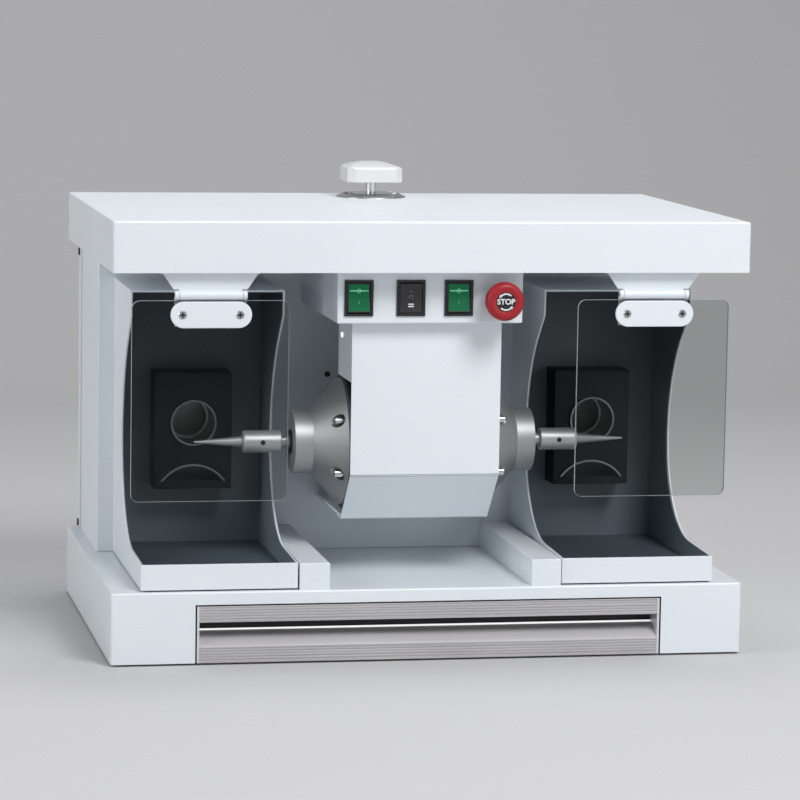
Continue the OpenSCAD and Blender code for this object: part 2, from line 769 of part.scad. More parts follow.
module left_rocker() {
    color("green") rocker(switch_places[0], -rocker_tip);
}
module middle_rocker() {
    color("dimgray") rocker(switch_places[1], 0);
}
module right_rocker() {
    color("green") rocker(switch_places[2], -rocker_tip);
}
module stop_collar() {
    color("black") translate([stop_x, 0, stop_mid_z]) difference() {
        union() {
            bar_y(stop_collar_y, panel_y, 0, 0, 1.35 * thread_r);
            bar_y(panel_y - 1, panel_y + switch_depth, 0, 0, thread_r);
            bar_y(panel_y + sheet_t, panel_y + sheet_t + 4, 0, 0, 1.3 * thread_r);
        }
        bar_y(stop_collar_y - 1, panel_y + switch_depth + 1, 0, 0, stop_stem_r + running_gap);
    }
}
module stop_contacts() {
    color("dimgray") translate([stop_x, 0, stop_mid_z])
        block([-13, panel_y + switch_depth, -18], [13, panel_y + switch_depth + 26, 18]);
}
module stop_stem() {
    color("silver") bar_y(stop_front_y + 4, panel_y + switch_depth - stop_travel - 0.5,
                          stop_x, stop_mid_z, stop_stem_r);
}
module stop_head() {
    rim_y = stop_front_y + 7;
    hub_y = stop_collar_y - stop_travel - 0.5;
    skirt_y = stop_front_y + stop_head_l;
    color("crimson") translate([stop_x, 0, stop_mid_z]) rotate([90, 0, 0]) difference() {
        rotate_extrude() polygon(concat(
            [[0, -stop_front_y], [0.55 * stop_r, -stop_front_y]],
            [for (i = [1:8]) [stop_r * (0.55 + 0.45 * sin(11.25 * i)),
                              -rim_y + (rim_y - stop_front_y) * cos(11.25 * i)]],
            [[stop_r - 1, -skirt_y], [1.5 * stop_stem_r, -skirt_y], [1.5 * stop_stem_r, -hub_y],
             [0, -hub_y]]));
        translate([0, 0, -hub_y - 1])
            cylinder(h = hub_y - stop_front_y - 2.9, r = stop_stem_r + running_gap);
    }
}

// ---- Motor cover, shelf and saddle
guard_fold_z = base_h + guard_fold_h;
guard_low_z = base_h + guard_h;
guard_low_y = guard_y + guard_slope_d;
guard_fold_a = atan2(guard_low_y - guard_y, guard_fold_z - guard_low_z);
fold_1 = sheet_t * tan(guard_fold_a / 2);
fold_2 = sheet_t * tan((90 - guard_fold_a) / 2);
guard_lap = 24;
guard_side_d = 76;
guard_side_z = axis_z + motor_r + 4;
guard_screw_r = 1.5;
guard_screw_y = guard_y + 54;
guard_screw_z = panel_z - 18;
tab_t = 2;
shelf_z = guard_low_z + sheet_t;
shelf_front_y = guard_low_y + fold_2 + 1;
shelf_flange_h = 34;
shelf_bolt_x = 40;
gusset_x = 54;
saddle_l = 84;

module shelf_bolt_places() {
    for (x = [-1, 1]) translate([x * shelf_bolt_x, 0, shelf_z + shelf_flange_h - 12]) children();
}
module motor_cover() {
    color("whitesmoke") both_sides() difference() {
        block([guard_w / 2 - sheet_t, guard_y, guard_side_z], [guard_w / 2, guard_y + guard_side_d, panel_z]);
        bar_x(guard_w / 2 - sheet_t - 1, guard_w / 2 + 1, guard_screw_y, guard_screw_z, guard_screw_r + 0.05);
    }
    color("whitesmoke") along_x(-guard_w / 2, guard_w / 2) polygon([
        [guard_y, panel_z], [guard_y, guard_fold_z], [guard_low_y, guard_low_z],
        [guard_low_y + guard_lap, guard_low_z], [guard_low_y + guard_lap, guard_low_z + sheet_t],
        [guard_low_y + fold_2, guard_low_z + sheet_t], [guard_y + sheet_t, guard_fold_z + fold_1],
        [guard_y + sheet_t, panel_z - sheet_t], [guard_y + guard_lap, panel_z - sheet_t],
        [guard_y + guard_lap, panel_z]]);
}
module motor_shelf() {
    color("silver") difference() {
        union() {
            block([-shelf_w / 2, shelf_front_y, shelf_z], [shelf_w / 2, column_y, shelf_z + shelf_t]);
            block([-shelf_w / 2, column_y - shelf_t, shelf_z],
                  [shelf_w / 2, column_y, shelf_z + shelf_flange_h]);
            for (side = [-1, 1])
                along_x(side * gusset_x - shelf_t / 2, side * gusset_x + shelf_t / 2)
                    polygon([[column_y, shelf_z], [axis_y + motor_r, shelf_z],
                             [axis_y + motor_r, shelf_z + shelf_t + 1],
                             [column_y, shelf_z + shelf_flange_h]]);
        }
        shelf_bolt_places() bar_y(column_y - shelf_t - 1, column_y + 1, 0, 0, bolt_r + fit_gap);
    }
}
module motor_saddle() {
    color("dimgray") difference() {
        block([-saddle_w / 2, max(axis_y - saddle_l / 2, shelf_front_y), shelf_z + shelf_t],
              [saddle_w / 2, axis_y + saddle_l / 2, axis_z - 0.78 * motor_r]);
        bar_x(-saddle_w, saddle_w, axis_y, axis_z, motor_r);
    }
}

// ---- Motor
bell_x = motor_l / 2;
cone_r = motor_r;
bearing_x = nose_x - 2 - bearing_w;
bore_r = bearing_r;
pocket_r = 6.6;
pocket_x = bell_x + 5;
bell_in_r = tie_circle_r - pocket_r - 3;
bolt_head_r = 3.9;
bolt_head_l = 10;
slinger_r = 12;
set_screw_x = collar_x + 19.5;
seal_l = 6;
seal_t = 4;

module motor_axis() {
    translate([0, axis_y, axis_z]) children();
}
module tie_places() {
    for (a = [tie_angle, 180 - tie_angle, 180 + tie_angle, -tie_angle])
        translate([0, tie_circle_r * cos(a), tie_circle_r * sin(a)]) children();
}
module motor_housing() {
    color("gray") motor_axis() difference() {
        union() {
            bar_x(-bell_x, bell_x, 0, 0, motor_r);
            both_sides() bar_x(bell_x - seal_l, bell_x, 0, 0, motor_r + seal_t);
        }
        bar_x(-bell_x - 1, bell_x + 1, 0, 0, motor_r - motor_wall);
    }
}
module stator() {
    color("saddlebrown") motor_axis() difference() {
        bar_x(-rotor_l / 2, rotor_l / 2, 0, 0, motor_r - motor_wall);
        bar_x(-rotor_l, rotor_l, 0, 0, rotor_r + rotor_gap);
        tie_places() bar_x(-rotor_l, rotor_l, 0, 0, tie_r + fit_gap);
    }
}
module right_end_bell() {
    color("lightgray") motor_axis() difference() {
        turned_x([
            [bell_in_r, bell_x], [cone_r, bell_x], [cone_r, bell_x + 3],
            [nose_r, nose_x - nose_l], [nose_r, nose_x], [shaft_r + 2, nose_x],
            [shaft_r + 2, nose_x - 2], [bore_r, nose_x - 2], [bore_r, bearing_x],
            [bore_r - 3, bearing_x], [bore_r - 3, bearing_x - 4], [nose_r - 4, bearing_x - 4],
            [bell_in_r, bell_x + 3]]);
        tie_places() {
            bar_x(bell_x - 1, nose_x, 0, 0, tie_r + fit_gap);
            bar_x(pocket_x, nose_x + 1, 0, 0, pocket_r);
        }
    }
}
module left_end_bell() {
    mirror([1, 0, 0]) right_end_bell();
}
module tie_bolts() {
    color("dimgray") motor_axis() tie_places() {
        bar_x(-pocket_x, pocket_x, 0, 0, tie_r);
        both_sides() difference() {
            bar_x(pocket_x, pocket_x + bolt_head_l, 0, 0, bolt_head_r);
            bar_x(pocket_x + bolt_head_l - 3, pocket_x + bolt_head_l + 1, 0, 0, 0.5 * bolt_head_r);
        }
    }
}
module motor_bearings() {
    color("silver") motor_axis() both_sides() difference() {
        bar_x(bearing_x, bearing_x + bearing_w, 0, 0, bearing_r);
        bar_x(bearing_x - 1, bearing_x + bearing_w + 1, 0, 0, shaft_r + running_gap);
    }
}
module spindle_shaft() {
    color("silver") motor_axis() {
        bar_x(-bearing_x - bearing_w, bearing_x + bearing_w, 0, 0, shaft_r);
        bar_x(-collar_x - collar_l + 14, collar_x + collar_l - 14, 0, 0, stub_r);
        both_sides() bar_x(nose_x + 0.6, nose_x + 2.2, 0, 0, slinger_r);
    }
}
module rotor() {
    color("dimgray") motor_axis() difference() {
        bar_x(-rotor_l / 2, rotor_l / 2, 0, 0, rotor_r);
        bar_x(-rotor_l, rotor_l, 0, 0, shaft_r + 0.01);
    }
}
module spindle_tapers() {
    collar_end_x = collar_x + collar_l;
    color("silver") motor_axis() both_sides() difference() {
        turned_x([
            [0, collar_x], [collar_r - 0.8, collar_x], [collar_r, collar_x + 0.8],
            [collar_r, collar_end_x - 1], [collar_r - 1, collar_end_x], [taper_r, collar_end_x],
            [taper_tip_r, collar_end_x + taper_l], [0, collar_end_x + taper_l]]);
        bar_x(collar_x - 1, collar_end_x - 13, 0, 0, stub_r + 0.01);
        bar_y(-collar_r - 1, 0, set_screw_x, 0, set_screw_r + 0.02);
    }
}
module set_screws() {
    color("dimgray") motor_axis() both_sides() difference() {
        bar_y(-collar_r + 1.2, -stub_r, set_screw_x, 0, set_screw_r);
        translate([set_screw_x, -collar_r + 2.4, 0]) rotate([90, 0, 0]) cylinder(h = 3, r = 1.2, $fn = 6);
    }
}

// ---- Drawer
runner_gap = 0.5;
runner_t = 2;
box_low_z = foot_h + plate_t + 4;
box_front_y = front_rear_y;
slide_z = box_low_z + 14;
recess_low_z = foot_h + band_h + 0.6;
recess_high_z = drawer_top_z - band_h;
recess_lip_h = 1.7;
lip_z = recess_high_z - 12.4;
rib_pitch = (band_h - 2) / rib_n;

// Corner points of the grooves of one ribbed band, from low to high
function ribs(low_z) = [for (i = [0:rib_n - 1]) let (z = low_z + 1 + rib_pitch * (i + 0.5))
    each [[front_y, z - 0.5], [front_y + rib_d, z - 0.2], [front_y + rib_d, z + 0.2], [front_y, z + 0.5]]];
function reversed(list) = [for (i = [len(list) - 1:-1:0]) list[i]];

module drawer_profile() {
    cove = [for (i = [1:8]) let (a = 90 * i / 8)
        [front_y + recess_d * (1 - cos(a)) * 0.5 + recess_d * 0.5 * i / 8,
         recess_low_z + (lip_z - recess_low_z) * sin(a * 0.5) / sin(45)]];
    polygon(concat(
        [[front_rear_y, foot_h], [front_y, foot_h]], ribs(foot_h),
        [[front_y, recess_low_z - 0.6], [front_y + 0.6, recess_low_z]], cove,
        [[front_y + recess_d, lip_z + recess_lip_h], [front_y + recess_d + 2, lip_z + recess_lip_h],
         [front_y + recess_d + 2, recess_high_z + 8],
         [front_y + 4, recess_high_z + 8], [front_y + 3, recess_high_z], [front_y, recess_high_z]],
        ribs(recess_high_z), [[front_y, drawer_top_z], [front_rear_y, drawer_top_z]]));
}
module drawer_front() {
    color("lightgray") along_x(-drawer_w / 2 + cap_t, drawer_w / 2 - cap_t) drawer_profile();
}
module drawer_caps() {
    color("silver") both_sides()
        block([drawer_w / 2 - cap_t, front_y, foot_h], [drawer_w / 2, front_rear_y, drawer_top_z]);
}
module drawer_box() {
    color("gainsboro") difference() {
        block([-box_w / 2, box_front_y, box_low_z], [box_w / 2, box_front_y + box_d, box_low_z + box_h]);
        block([-box_w / 2 + box_t, box_front_y + box_t, box_low_z + box_t],
              [box_w / 2 - box_t, box_front_y + box_d - box_t, box_low_z + box_h + 1]);
    }
}
module drawer_slides() {
    color("silver") both_sides()
        block([box_w / 2, box_front_y + 4, slide_z],
              [box_w / 2 + slide_w, box_front_y + box_d, slide_z + slide_h]);
}
module drawer_runners() {
    low_x = box_w / 2 + 2;
    web_x = box_w / 2 + slide_w + runner_gap;
    channel_low_z = slide_z - runner_gap;
    channel_high_z = slide_z + slide_h + runner_gap;
    runner_foot = 6;
    runner_over = 12;
    color("silver") both_sides()
    along_y(box_front_y + runner_foot, box_front_y + box_d + runner_over) polygon([
        [web_x + runner_t, foot_h + plate_t], [web_x + runner_t, channel_high_z + runner_t],
        [low_x, channel_high_z + runner_t], [low_x, channel_high_z], [web_x, channel_high_z],
        [web_x, channel_low_z], [low_x, channel_low_z], [low_x, channel_low_z - runner_t],
        [web_x, channel_low_z - runner_t], [web_x, foot_h + plate_t + runner_t],
        [web_x - runner_foot, foot_h + plate_t + runner_t], [web_x - runner_foot, foot_h + plate_t]]);
}

// ---- Extraction inside the column
shelf_top_z = base_h + filter_shelf_h;
plenum_half_w = hood_x + mouth_r + 28;
plenum_step_y = column_y + 56;
plenum_low_z = base_h + plenum_low_h;
plenum_mid_z = base_h + plenum_step_h;
filter_y = column_y + 94;
fan_y = column_y + 74;
fan_z = base_h + fan_r + 3;
blade_l = 34;
fan_shaft_r = 4;
fan_hub_r = 10;
fan_sheet_t = 2;
disc_t = 3;
disc_y = fan_y + 12;
fan_hub_l = 18;
fan_shaft_l = 40;
fan_motor_y = disc_y + fan_hub_l + 4;
fan_rear_y = fan_y + fan_d;
filter_rim = 6;
filter_seat = 12;
filter_grip = 16;
fleece_t = 3;
vent_inset = 30;
vent_gap = 6;

module plenum_outline(inset) {
    polygon([
        [column_y + sheet_t + inset, plenum_low_z + inset], [plenum_step_y - inset, plenum_low_z + inset],
        [plenum_step_y - inset, plenum_mid_z + inset],
        [column_rear_y - 4 - inset, plenum_mid_z + inset],
        [column_rear_y - 4 - inset, shelf_top_z - inset], [column_y + sheet_t + inset, shelf_top_z - inset]]);
}
module filter_shelf() {
    color("silver") difference() {
        union() {
            along_x(-plenum_half_w, plenum_half_w) plenum_outline(0);
            block([-column_x + sheet_t + fit_gap, column_y + sheet_t, shelf_top_z - sheet_t],
                  [column_x - sheet_t - fit_gap, column_rear_y - 4, shelf_top_z]);
        }
        along_x(-plenum_half_w + sheet_t, plenum_half_w - sheet_t) plenum_outline(sheet_t);
        block([-filter_w / 2 + filter_seat, filter_y - filter_d / 2 + filter_seat, shelf_top_z - sheet_t - 1],
              [filter_w / 2 - filter_seat, filter_y + filter_d / 2 - filter_seat, shelf_top_z + 1]);
        both_sides() translate([0, sheet_t, 0]) wall_openings();
        both_sides() block(
            [plenum_half_w + vent_gap, column_y + vent_inset, shelf_top_z - sheet_t - 1],
            [column_x - sheet_t - vent_gap - 4, column_rear_y - vent_inset - 10, shelf_top_z + 1]);
    }
}
module filter_cassette() {
    half_w = filter_w / 2 - filter_rim;
    half_d = filter_d / 2 - filter_rim;
    fold_w = 2 * half_w / fold_n;
    pleat_low = shelf_top_z + filter_rim;
    pleat_high = shelf_top_z + filter_h - filter_rim - 2;
    function fold(i) = [-half_w + fold_w * i / 2, i % 2 == 0 ? pleat_low : pleat_high];
    color("lightyellow") translate([0, filter_y, 0]) {
        difference() {
            block([-filter_w / 2, -filter_d / 2, shelf_top_z],
                  [filter_w / 2, filter_d / 2, shelf_top_z + filter_h]);
            block([-half_w, -half_d, shelf_top_z - 1], [half_w, half_d, shelf_top_z + filter_h + 1]);
        }
        along_y(-half_d, half_d) polygon(concat(
            [for (i = [0:2 * fold_n]) fold(i)],
            [for (i = [2 * fold_n:-1:0]) fold(i) + [0, fleece_t]]));
        block([-filter_grip, -half_d - fleece_t, shelf_top_z + filter_h - 3],
              [filter_grip, half_d + fleece_t, shelf_top_z + filter_h]);
    }
}
module fan_housing() {
    foot_half_w = 50;
    foot_t = 12;
    outlet_r = 11;
    color("gray") translate([0, 0, fan_z]) difference() {
        union() {
            bar_y(fan_y, fan_rear_y, 0, 0, fan_r);
            block([-foot_half_w, fan_y + 6, -fan_r - 3], [foot_half_w, fan_rear_y - 6, foot_t - fan_r]);
        }
        bar_y(fan_y + fan_sheet_t, fan_rear_y - fan_sheet_t, 0, 0, fan_r - fan_sheet_t);
        bar_y(fan_y - 1, fan_y + fan_sheet_t + 1, 0, 0, fan_inlet_r);
        for (a = [30:60:330]) rotate([0, a, 0])
            bar_y(fan_rear_y - fan_sheet_t - 1, fan_rear_y + 1, fan_r - 2 * outlet_r, 0, outlet_r);
    }
}
module fan_motor() {
    color("dimgray") translate([0, 0, fan_z]) difference() {
        bar_y(fan_motor_y, fan_rear_y - fan_sheet_t, 0, 0, fan_motor_r);
        bar_y(fan_motor_y - 1, disc_y + fan_shaft_l + 2, 0, 0, fan_shaft_r + running_gap);
    }
}
module fan_impeller() {
    blade_w = 14;
    color("silver") translate([0, 0, fan_z]) {
        bar_y(disc_y, disc_y + disc_t, 0, 0, impeller_r);
        bar_y(disc_y, disc_y + fan_hub_l, 0, 0, fan_hub_r);
        bar_y(disc_y, disc_y + fan_shaft_l, 0, 0, fan_shaft_r);
        difference() {
            bar_y(disc_y + blade_l, disc_y + blade_l + 2, 0, 0, impeller_r);
            bar_y(disc_y + blade_l - 1, disc_y + blade_l + 3, 0, 0, impeller_r - blade_w - 2);
        }
        for (i = [0:blade_n - 1]) rotate([0, 360 * i / blade_n, 0])
            block([impeller_r - blade_w - 1, disc_y + 2, -0.8],
                  [impeller_r - 1, disc_y + blade_l + 1, 0.8]);
    }
}

// ---- Shaker knob
knob_low_z = cover_top_z + knob_lift;
rod_low_z = shelf_top_z + filter_h + knob_travel + 0.5;

module knob_ring() {
    inner_r = rod_r + running_gap;
    color("silver") translate([0, knob_y, cover_top_z]) difference() {
        rotate_extrude() polygon([
            [inner_r, 0], [ring_r, 0], [ring_r, 0.8], [ring_r - 2, 2],
            [ring_r - 8, 0.9 * ring_h], [0.4 * ring_r, ring_h], [inner_r, ring_h]]);
        for (side = [-1, 1]) translate([side * 0.68 * ring_r, 0, ring_h])
            cube([0.26 * ring_r, 0.8 * ring_r, ring_h], center = true);
    }
}
module shaker_knob() {
    half_w = knob_w / 2;
    flat = half_w - knob_corner;
    arch_r = (half_w * half_w + knob_dome_h * knob_dome_h) / (2 * knob_dome_h);
    arch_z = knob_side_h + knob_dome_h - arch_r;
    color("ivory") translate([0, knob_y, knob_low_z]) intersection() {
        along_z(0, knob_side_h + knob_dome_h) polygon([
            [half_w, flat], [flat, half_w], [-flat, half_w], [-half_w, flat],
            [-half_w, -flat], [-flat, -half_w], [flat, -half_w], [half_w, -flat]]);
        bar_x(-half_w - 1, half_w + 1, 0, arch_z, arch_r);
        bar_y(-half_w - 1, half_w + 1, 0, arch_z, arch_r);
    }
}
module shaker_rod() {
    color("silver") {
        bar_z(rod_low_z, knob_low_z, 0, knob_y, rod_r);
        bar_z(rod_low_z, rod_low_z + 3, 0, knob_y, 2 * rod_r);
    }
}

// ---- Power inlet
module power_inlet() {
    mid_z = base_h + inlet_z;
    flange_t = column_rear_gap - 0.2;
    flange_over = 10;
    body_d = 24;
    socket_d = 16;
    socket_half_w = inlet_w / 2 - 2;
    socket_low_z = mid_z - inlet_h / 2 + 4;
    socket_high_z = socket_low_z + socket_d;
    pin_w = 2;
    pin_h = 4;
    pin_pitch = 7;
    key_z = mid_z + 4;
    key_h = 16;
    color("black") difference() {
        union() {
            block([inlet_x - inlet_w / 2, column_rear_y - body_d, mid_z - inlet_h / 2],
                  [inlet_x + inlet_w / 2, column_rear_y, mid_z + inlet_h / 2]);
            block([inlet_x - inlet_w / 2 - flange_over, column_rear_y, mid_z - inlet_h / 2 - 2],
                  [inlet_x + inlet_w / 2 + flange_over, column_rear_y + flange_t, mid_z + inlet_h / 2 + 2]);
        }
        block([inlet_x - socket_half_w, column_rear_y - socket_d, socket_low_z],
              [inlet_x + socket_half_w, rear_y + 1, socket_high_z]);
        for (side = [-1, 1])
            bar_y(column_rear_y - 1, rear_y, inlet_x + side * (inlet_w + flange_over) / 2, mid_z, 1.8);
    }
    color("silver") for (i = [-1:1]) {
        pin_low_z = socket_low_z + (i == 0 ? pin_h : 2 * pin_h);
        block([inlet_x + i * pin_pitch - pin_w / 2, column_rear_y - socket_d, pin_low_z],
              [inlet_x + i * pin_pitch + pin_w / 2, column_rear_y - 1, pin_low_z + pin_h]);
    }
    color("dimgray") block([inlet_x - key_h / 2 - 3, column_rear_y + flange_t, key_z],
                           [inlet_x + key_h / 2 + 3, column_rear_y + flange_t + 0.2, key_z + key_h]);
}

base_shell();
base_plate();
rubber_feet();
base_rails();
column_shell();
rear_cover();
housing_screws();
top_cover();
cover_floor();
left_hood();
right_hood();
hood_linings();
suction_boxes();
suction_mouths();
hinge_brackets();
hinge_pins();
left_shield_leaf();
right_shield_leaf();
left_shield();
right_shield();
left_clamp_plate();
right_clamp_plate();
left_clamp_screws();
right_clamp_screws();
control_panel();
switch_frames();
left_rocker();
middle_rocker();
right_rocker();
stop_collar();
stop_contacts();
stop_stem();
stop_head();
motor_cover();
motor_shelf();
motor_saddle();
motor_housing();
stator();
left_end_bell();
right_end_bell();
tie_bolts();
motor_bearings();
spindle_shaft();
rotor();
spindle_tapers();
set_screws();
drawer_runners();
drawer_box();
drawer_front();
drawer_caps();
drawer_slides();
filter_shelf();
filter_cassette();
fan_housing();
fan_motor();
fan_impeller();
knob_ring();
shaker_knob();
shaker_rod();
power_inlet();
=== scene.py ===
import json
import math
import bpy
import bmesh
from mathutils import Matrix, Vector


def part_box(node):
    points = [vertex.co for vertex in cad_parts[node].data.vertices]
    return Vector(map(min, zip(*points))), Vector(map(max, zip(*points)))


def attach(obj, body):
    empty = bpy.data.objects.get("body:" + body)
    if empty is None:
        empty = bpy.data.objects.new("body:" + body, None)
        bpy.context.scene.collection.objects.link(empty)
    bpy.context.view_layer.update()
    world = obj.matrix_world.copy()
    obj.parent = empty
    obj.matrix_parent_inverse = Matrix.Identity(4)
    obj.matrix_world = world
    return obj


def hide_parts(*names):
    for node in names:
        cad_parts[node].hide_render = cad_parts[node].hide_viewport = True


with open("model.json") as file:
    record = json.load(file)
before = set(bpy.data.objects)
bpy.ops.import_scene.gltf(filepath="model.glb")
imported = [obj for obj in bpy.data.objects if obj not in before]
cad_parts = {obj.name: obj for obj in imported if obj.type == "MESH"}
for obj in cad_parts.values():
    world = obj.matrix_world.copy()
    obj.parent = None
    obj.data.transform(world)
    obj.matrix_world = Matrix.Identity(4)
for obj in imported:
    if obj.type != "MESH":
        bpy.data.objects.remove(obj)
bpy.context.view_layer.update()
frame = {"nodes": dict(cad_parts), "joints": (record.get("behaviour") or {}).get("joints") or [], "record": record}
scene = bpy.context.scene
cadNodes = frame["nodes"]
bodyOf = {node: body for body, group in frame["record"]["behaviour"]["bodies"].items() for node in group}
mm = 0.001
touching = 0.02 * mm  # points nearer than this to a plane lie on it
print("frame loaded")

# camera at the photograph's angle
cameraView = {
    "place": (-0.71302, -3.65947, 0.69335),
    "turn": 0.19413,  # to the right, radians
    "tip": 0.12219,  # downwards
    "roll": 0.01633,
    "lens": 161.5457,
    "sensor": 36.0,
}
cameraData = bpy.data.cameras.new("photoCamera")
cameraData.lens = cameraView["lens"]
cameraData.sensor_width = cameraView["sensor"]
cameraData.clip_end = 50
cameraObject = bpy.data.objects.new("photoCamera", cameraData)
scene.collection.objects.link(cameraObject)
worldToCamera = (Matrix.Rotation(cameraView["roll"], 3, "Y") @ Matrix.Rotation(cameraView["tip"], 3, "X")
                 @ Matrix.Rotation(cameraView["turn"], 3, "Z"))
cameraTurn = worldToCamera.transposed() @ Matrix.Rotation(math.pi / 2, 3, "X")
cameraObject.matrix_world = Matrix.Translation(cameraView["place"]) @ cameraTurn.to_4x4()
scene.camera = cameraObject


def addNode(tree, kind, settings=None, **inputs):
    node = tree.nodes.new(kind)
    for key, value in (settings or {}).items():
        setattr(node, key, value)
    for key, value in inputs.items():
        node.inputs[key].default_value = value
    return node


def scaledPlace(tree, coordinates, scale):
    mapping = addNode(tree, "ShaderNodeMapping", Scale=scale)
    tree.links.new(coordinates, mapping.inputs["Vector"])
    return mapping.outputs["Vector"]


def roundTheAxis(tree, coordinates, axis, centre):
    # gives (place along the axis, distance from it) so that a pattern runs round a turned piece
    shifted = addNode(tree, "ShaderNodeVectorMath", {"operation": "SUBTRACT"})
    shifted.inputs[1].default_value = centre
    tree.links.new(coordinates, shifted.inputs[0])
    flat = addNode(tree, "ShaderNodeVectorMath", {"operation": "MULTIPLY"})
    flat.inputs[1].default_value = [0.0 if i == axis else 1.0 for i in range(3)]
    tree.links.new(shifted.outputs[0], flat.inputs[0])
    distance = addNode(tree, "ShaderNodeVectorMath", {"operation": "LENGTH"})
    tree.links.new(flat.outputs[0], distance.inputs[0])
    parts = addNode(tree, "ShaderNodeSeparateXYZ")
    tree.links.new(shifted.outputs[0], parts.inputs[0])
    joined = addNode(tree, "ShaderNodeCombineXYZ")
    tree.links.new(parts.outputs[axis], joined.inputs[0])
    tree.links.new(distance.outputs["Value"], joined.inputs[1])
    return joined.outputs[0]


def mapped(tree, value, low, high, fromLow=0.3, fromHigh=0.7):
    # a noise keeps mostly between 0.3 and 0.7, so that is what is stretched
    node = addNode(tree, "ShaderNodeMapRange")
    node.inputs["From Min"].default_value = fromLow
    node.inputs["From Max"].default_value = fromHigh
    node.inputs["To Min"].default_value = low
    node.inputs["To Max"].default_value = high
    tree.links.new(value, node.inputs["Value"])
    return node.outputs["Result"]


def makeFinish(name, look):
    material = bpy.data.materials.new(name)
    material.use_nodes = True
    tree = material.node_tree
    shader = tree.nodes["Principled BSDF"]
    for socket, value in look.get("shader", {}).items():
        shader.inputs[socket].default_value = value
    place = tree.nodes.new("ShaderNodeTexCoord").outputs["Object"]
    grainPlace = place
    if "turned" in look:
        grainPlace = roundTheAxis(tree, place, *look["turned"])
    # slow drift of the colour over the piece
    drift = addNode(tree, "ShaderNodeTexNoise", Scale=look.get("driftScale", 9.0), Detail=4.0)
    tree.links.new(place, drift.inputs["Vector"])
    colour = addNode(tree, "ShaderNodeMix", {"data_type": "RGBA"})
    colour.inputs[6].default_value = (*look["colour"], 1)
    colour.inputs[7].default_value = (*look["shade"], 1)
    tree.links.new(mapped(tree, drift.outputs["Fac"], 0, 1), colour.inputs[0])
    colourOut = colour.outputs[2]
    if "dust" in look:
        # painted light: the lower part is painted lighter
        height = tree.nodes.new("ShaderNodeSeparateXYZ")
        tree.links.new(place, height.inputs[0])
        lightenedBelow = addNode(tree, "ShaderNodeMix", {"data_type": "RGBA"})
        lightenedBelow.inputs[7].default_value = (*look["dust"]["colour"], 1)
        tree.links.new(colourOut, lightenedBelow.inputs[6])
        share = mapped(tree, height.outputs["Z"], 1, 0, look["dust"]["low"], look["dust"]["high"])
        tree.links.new(share, lightenedBelow.inputs[0])
        colourOut = lightenedBelow.outputs[2]
    # fine grain: roughness and height
    grain = addNode(tree, "ShaderNodeTexNoise", Scale=1.0, Detail=look.get("grainDetail", 3.0))
    tree.links.new(scaledPlace(tree, grainPlace, look["grain"]), grain.inputs["Vector"])
    if "grainTint" in look:
        lined = addNode(tree, "ShaderNodeMix", {"data_type": "RGBA", "blend_type": "MULTIPLY"})
        lined.inputs[0].default_value = 1.0
        tree.links.new(colourOut, lined.inputs[6])
        tree.links.new(mapped(tree, grain.outputs["Fac"], look["grainTint"], 1.0), lined.inputs[7])
        colourOut = lined.outputs[2]
    tree.links.new(colourOut, shader.inputs["Base Color"])
    tree.links.new(mapped(tree, grain.outputs["Fac"], *look["roughness"]), shader.inputs["Roughness"])
    bump = addNode(tree, "ShaderNodeBump", Strength=look["bump"], Distance=look.get("depth", 0.0002))
    tree.links.new(grain.outputs["Fac"], bump.inputs["Height"])
    tree.links.new(bump.outputs["Normal"], shader.inputs["Normal"])
    return material


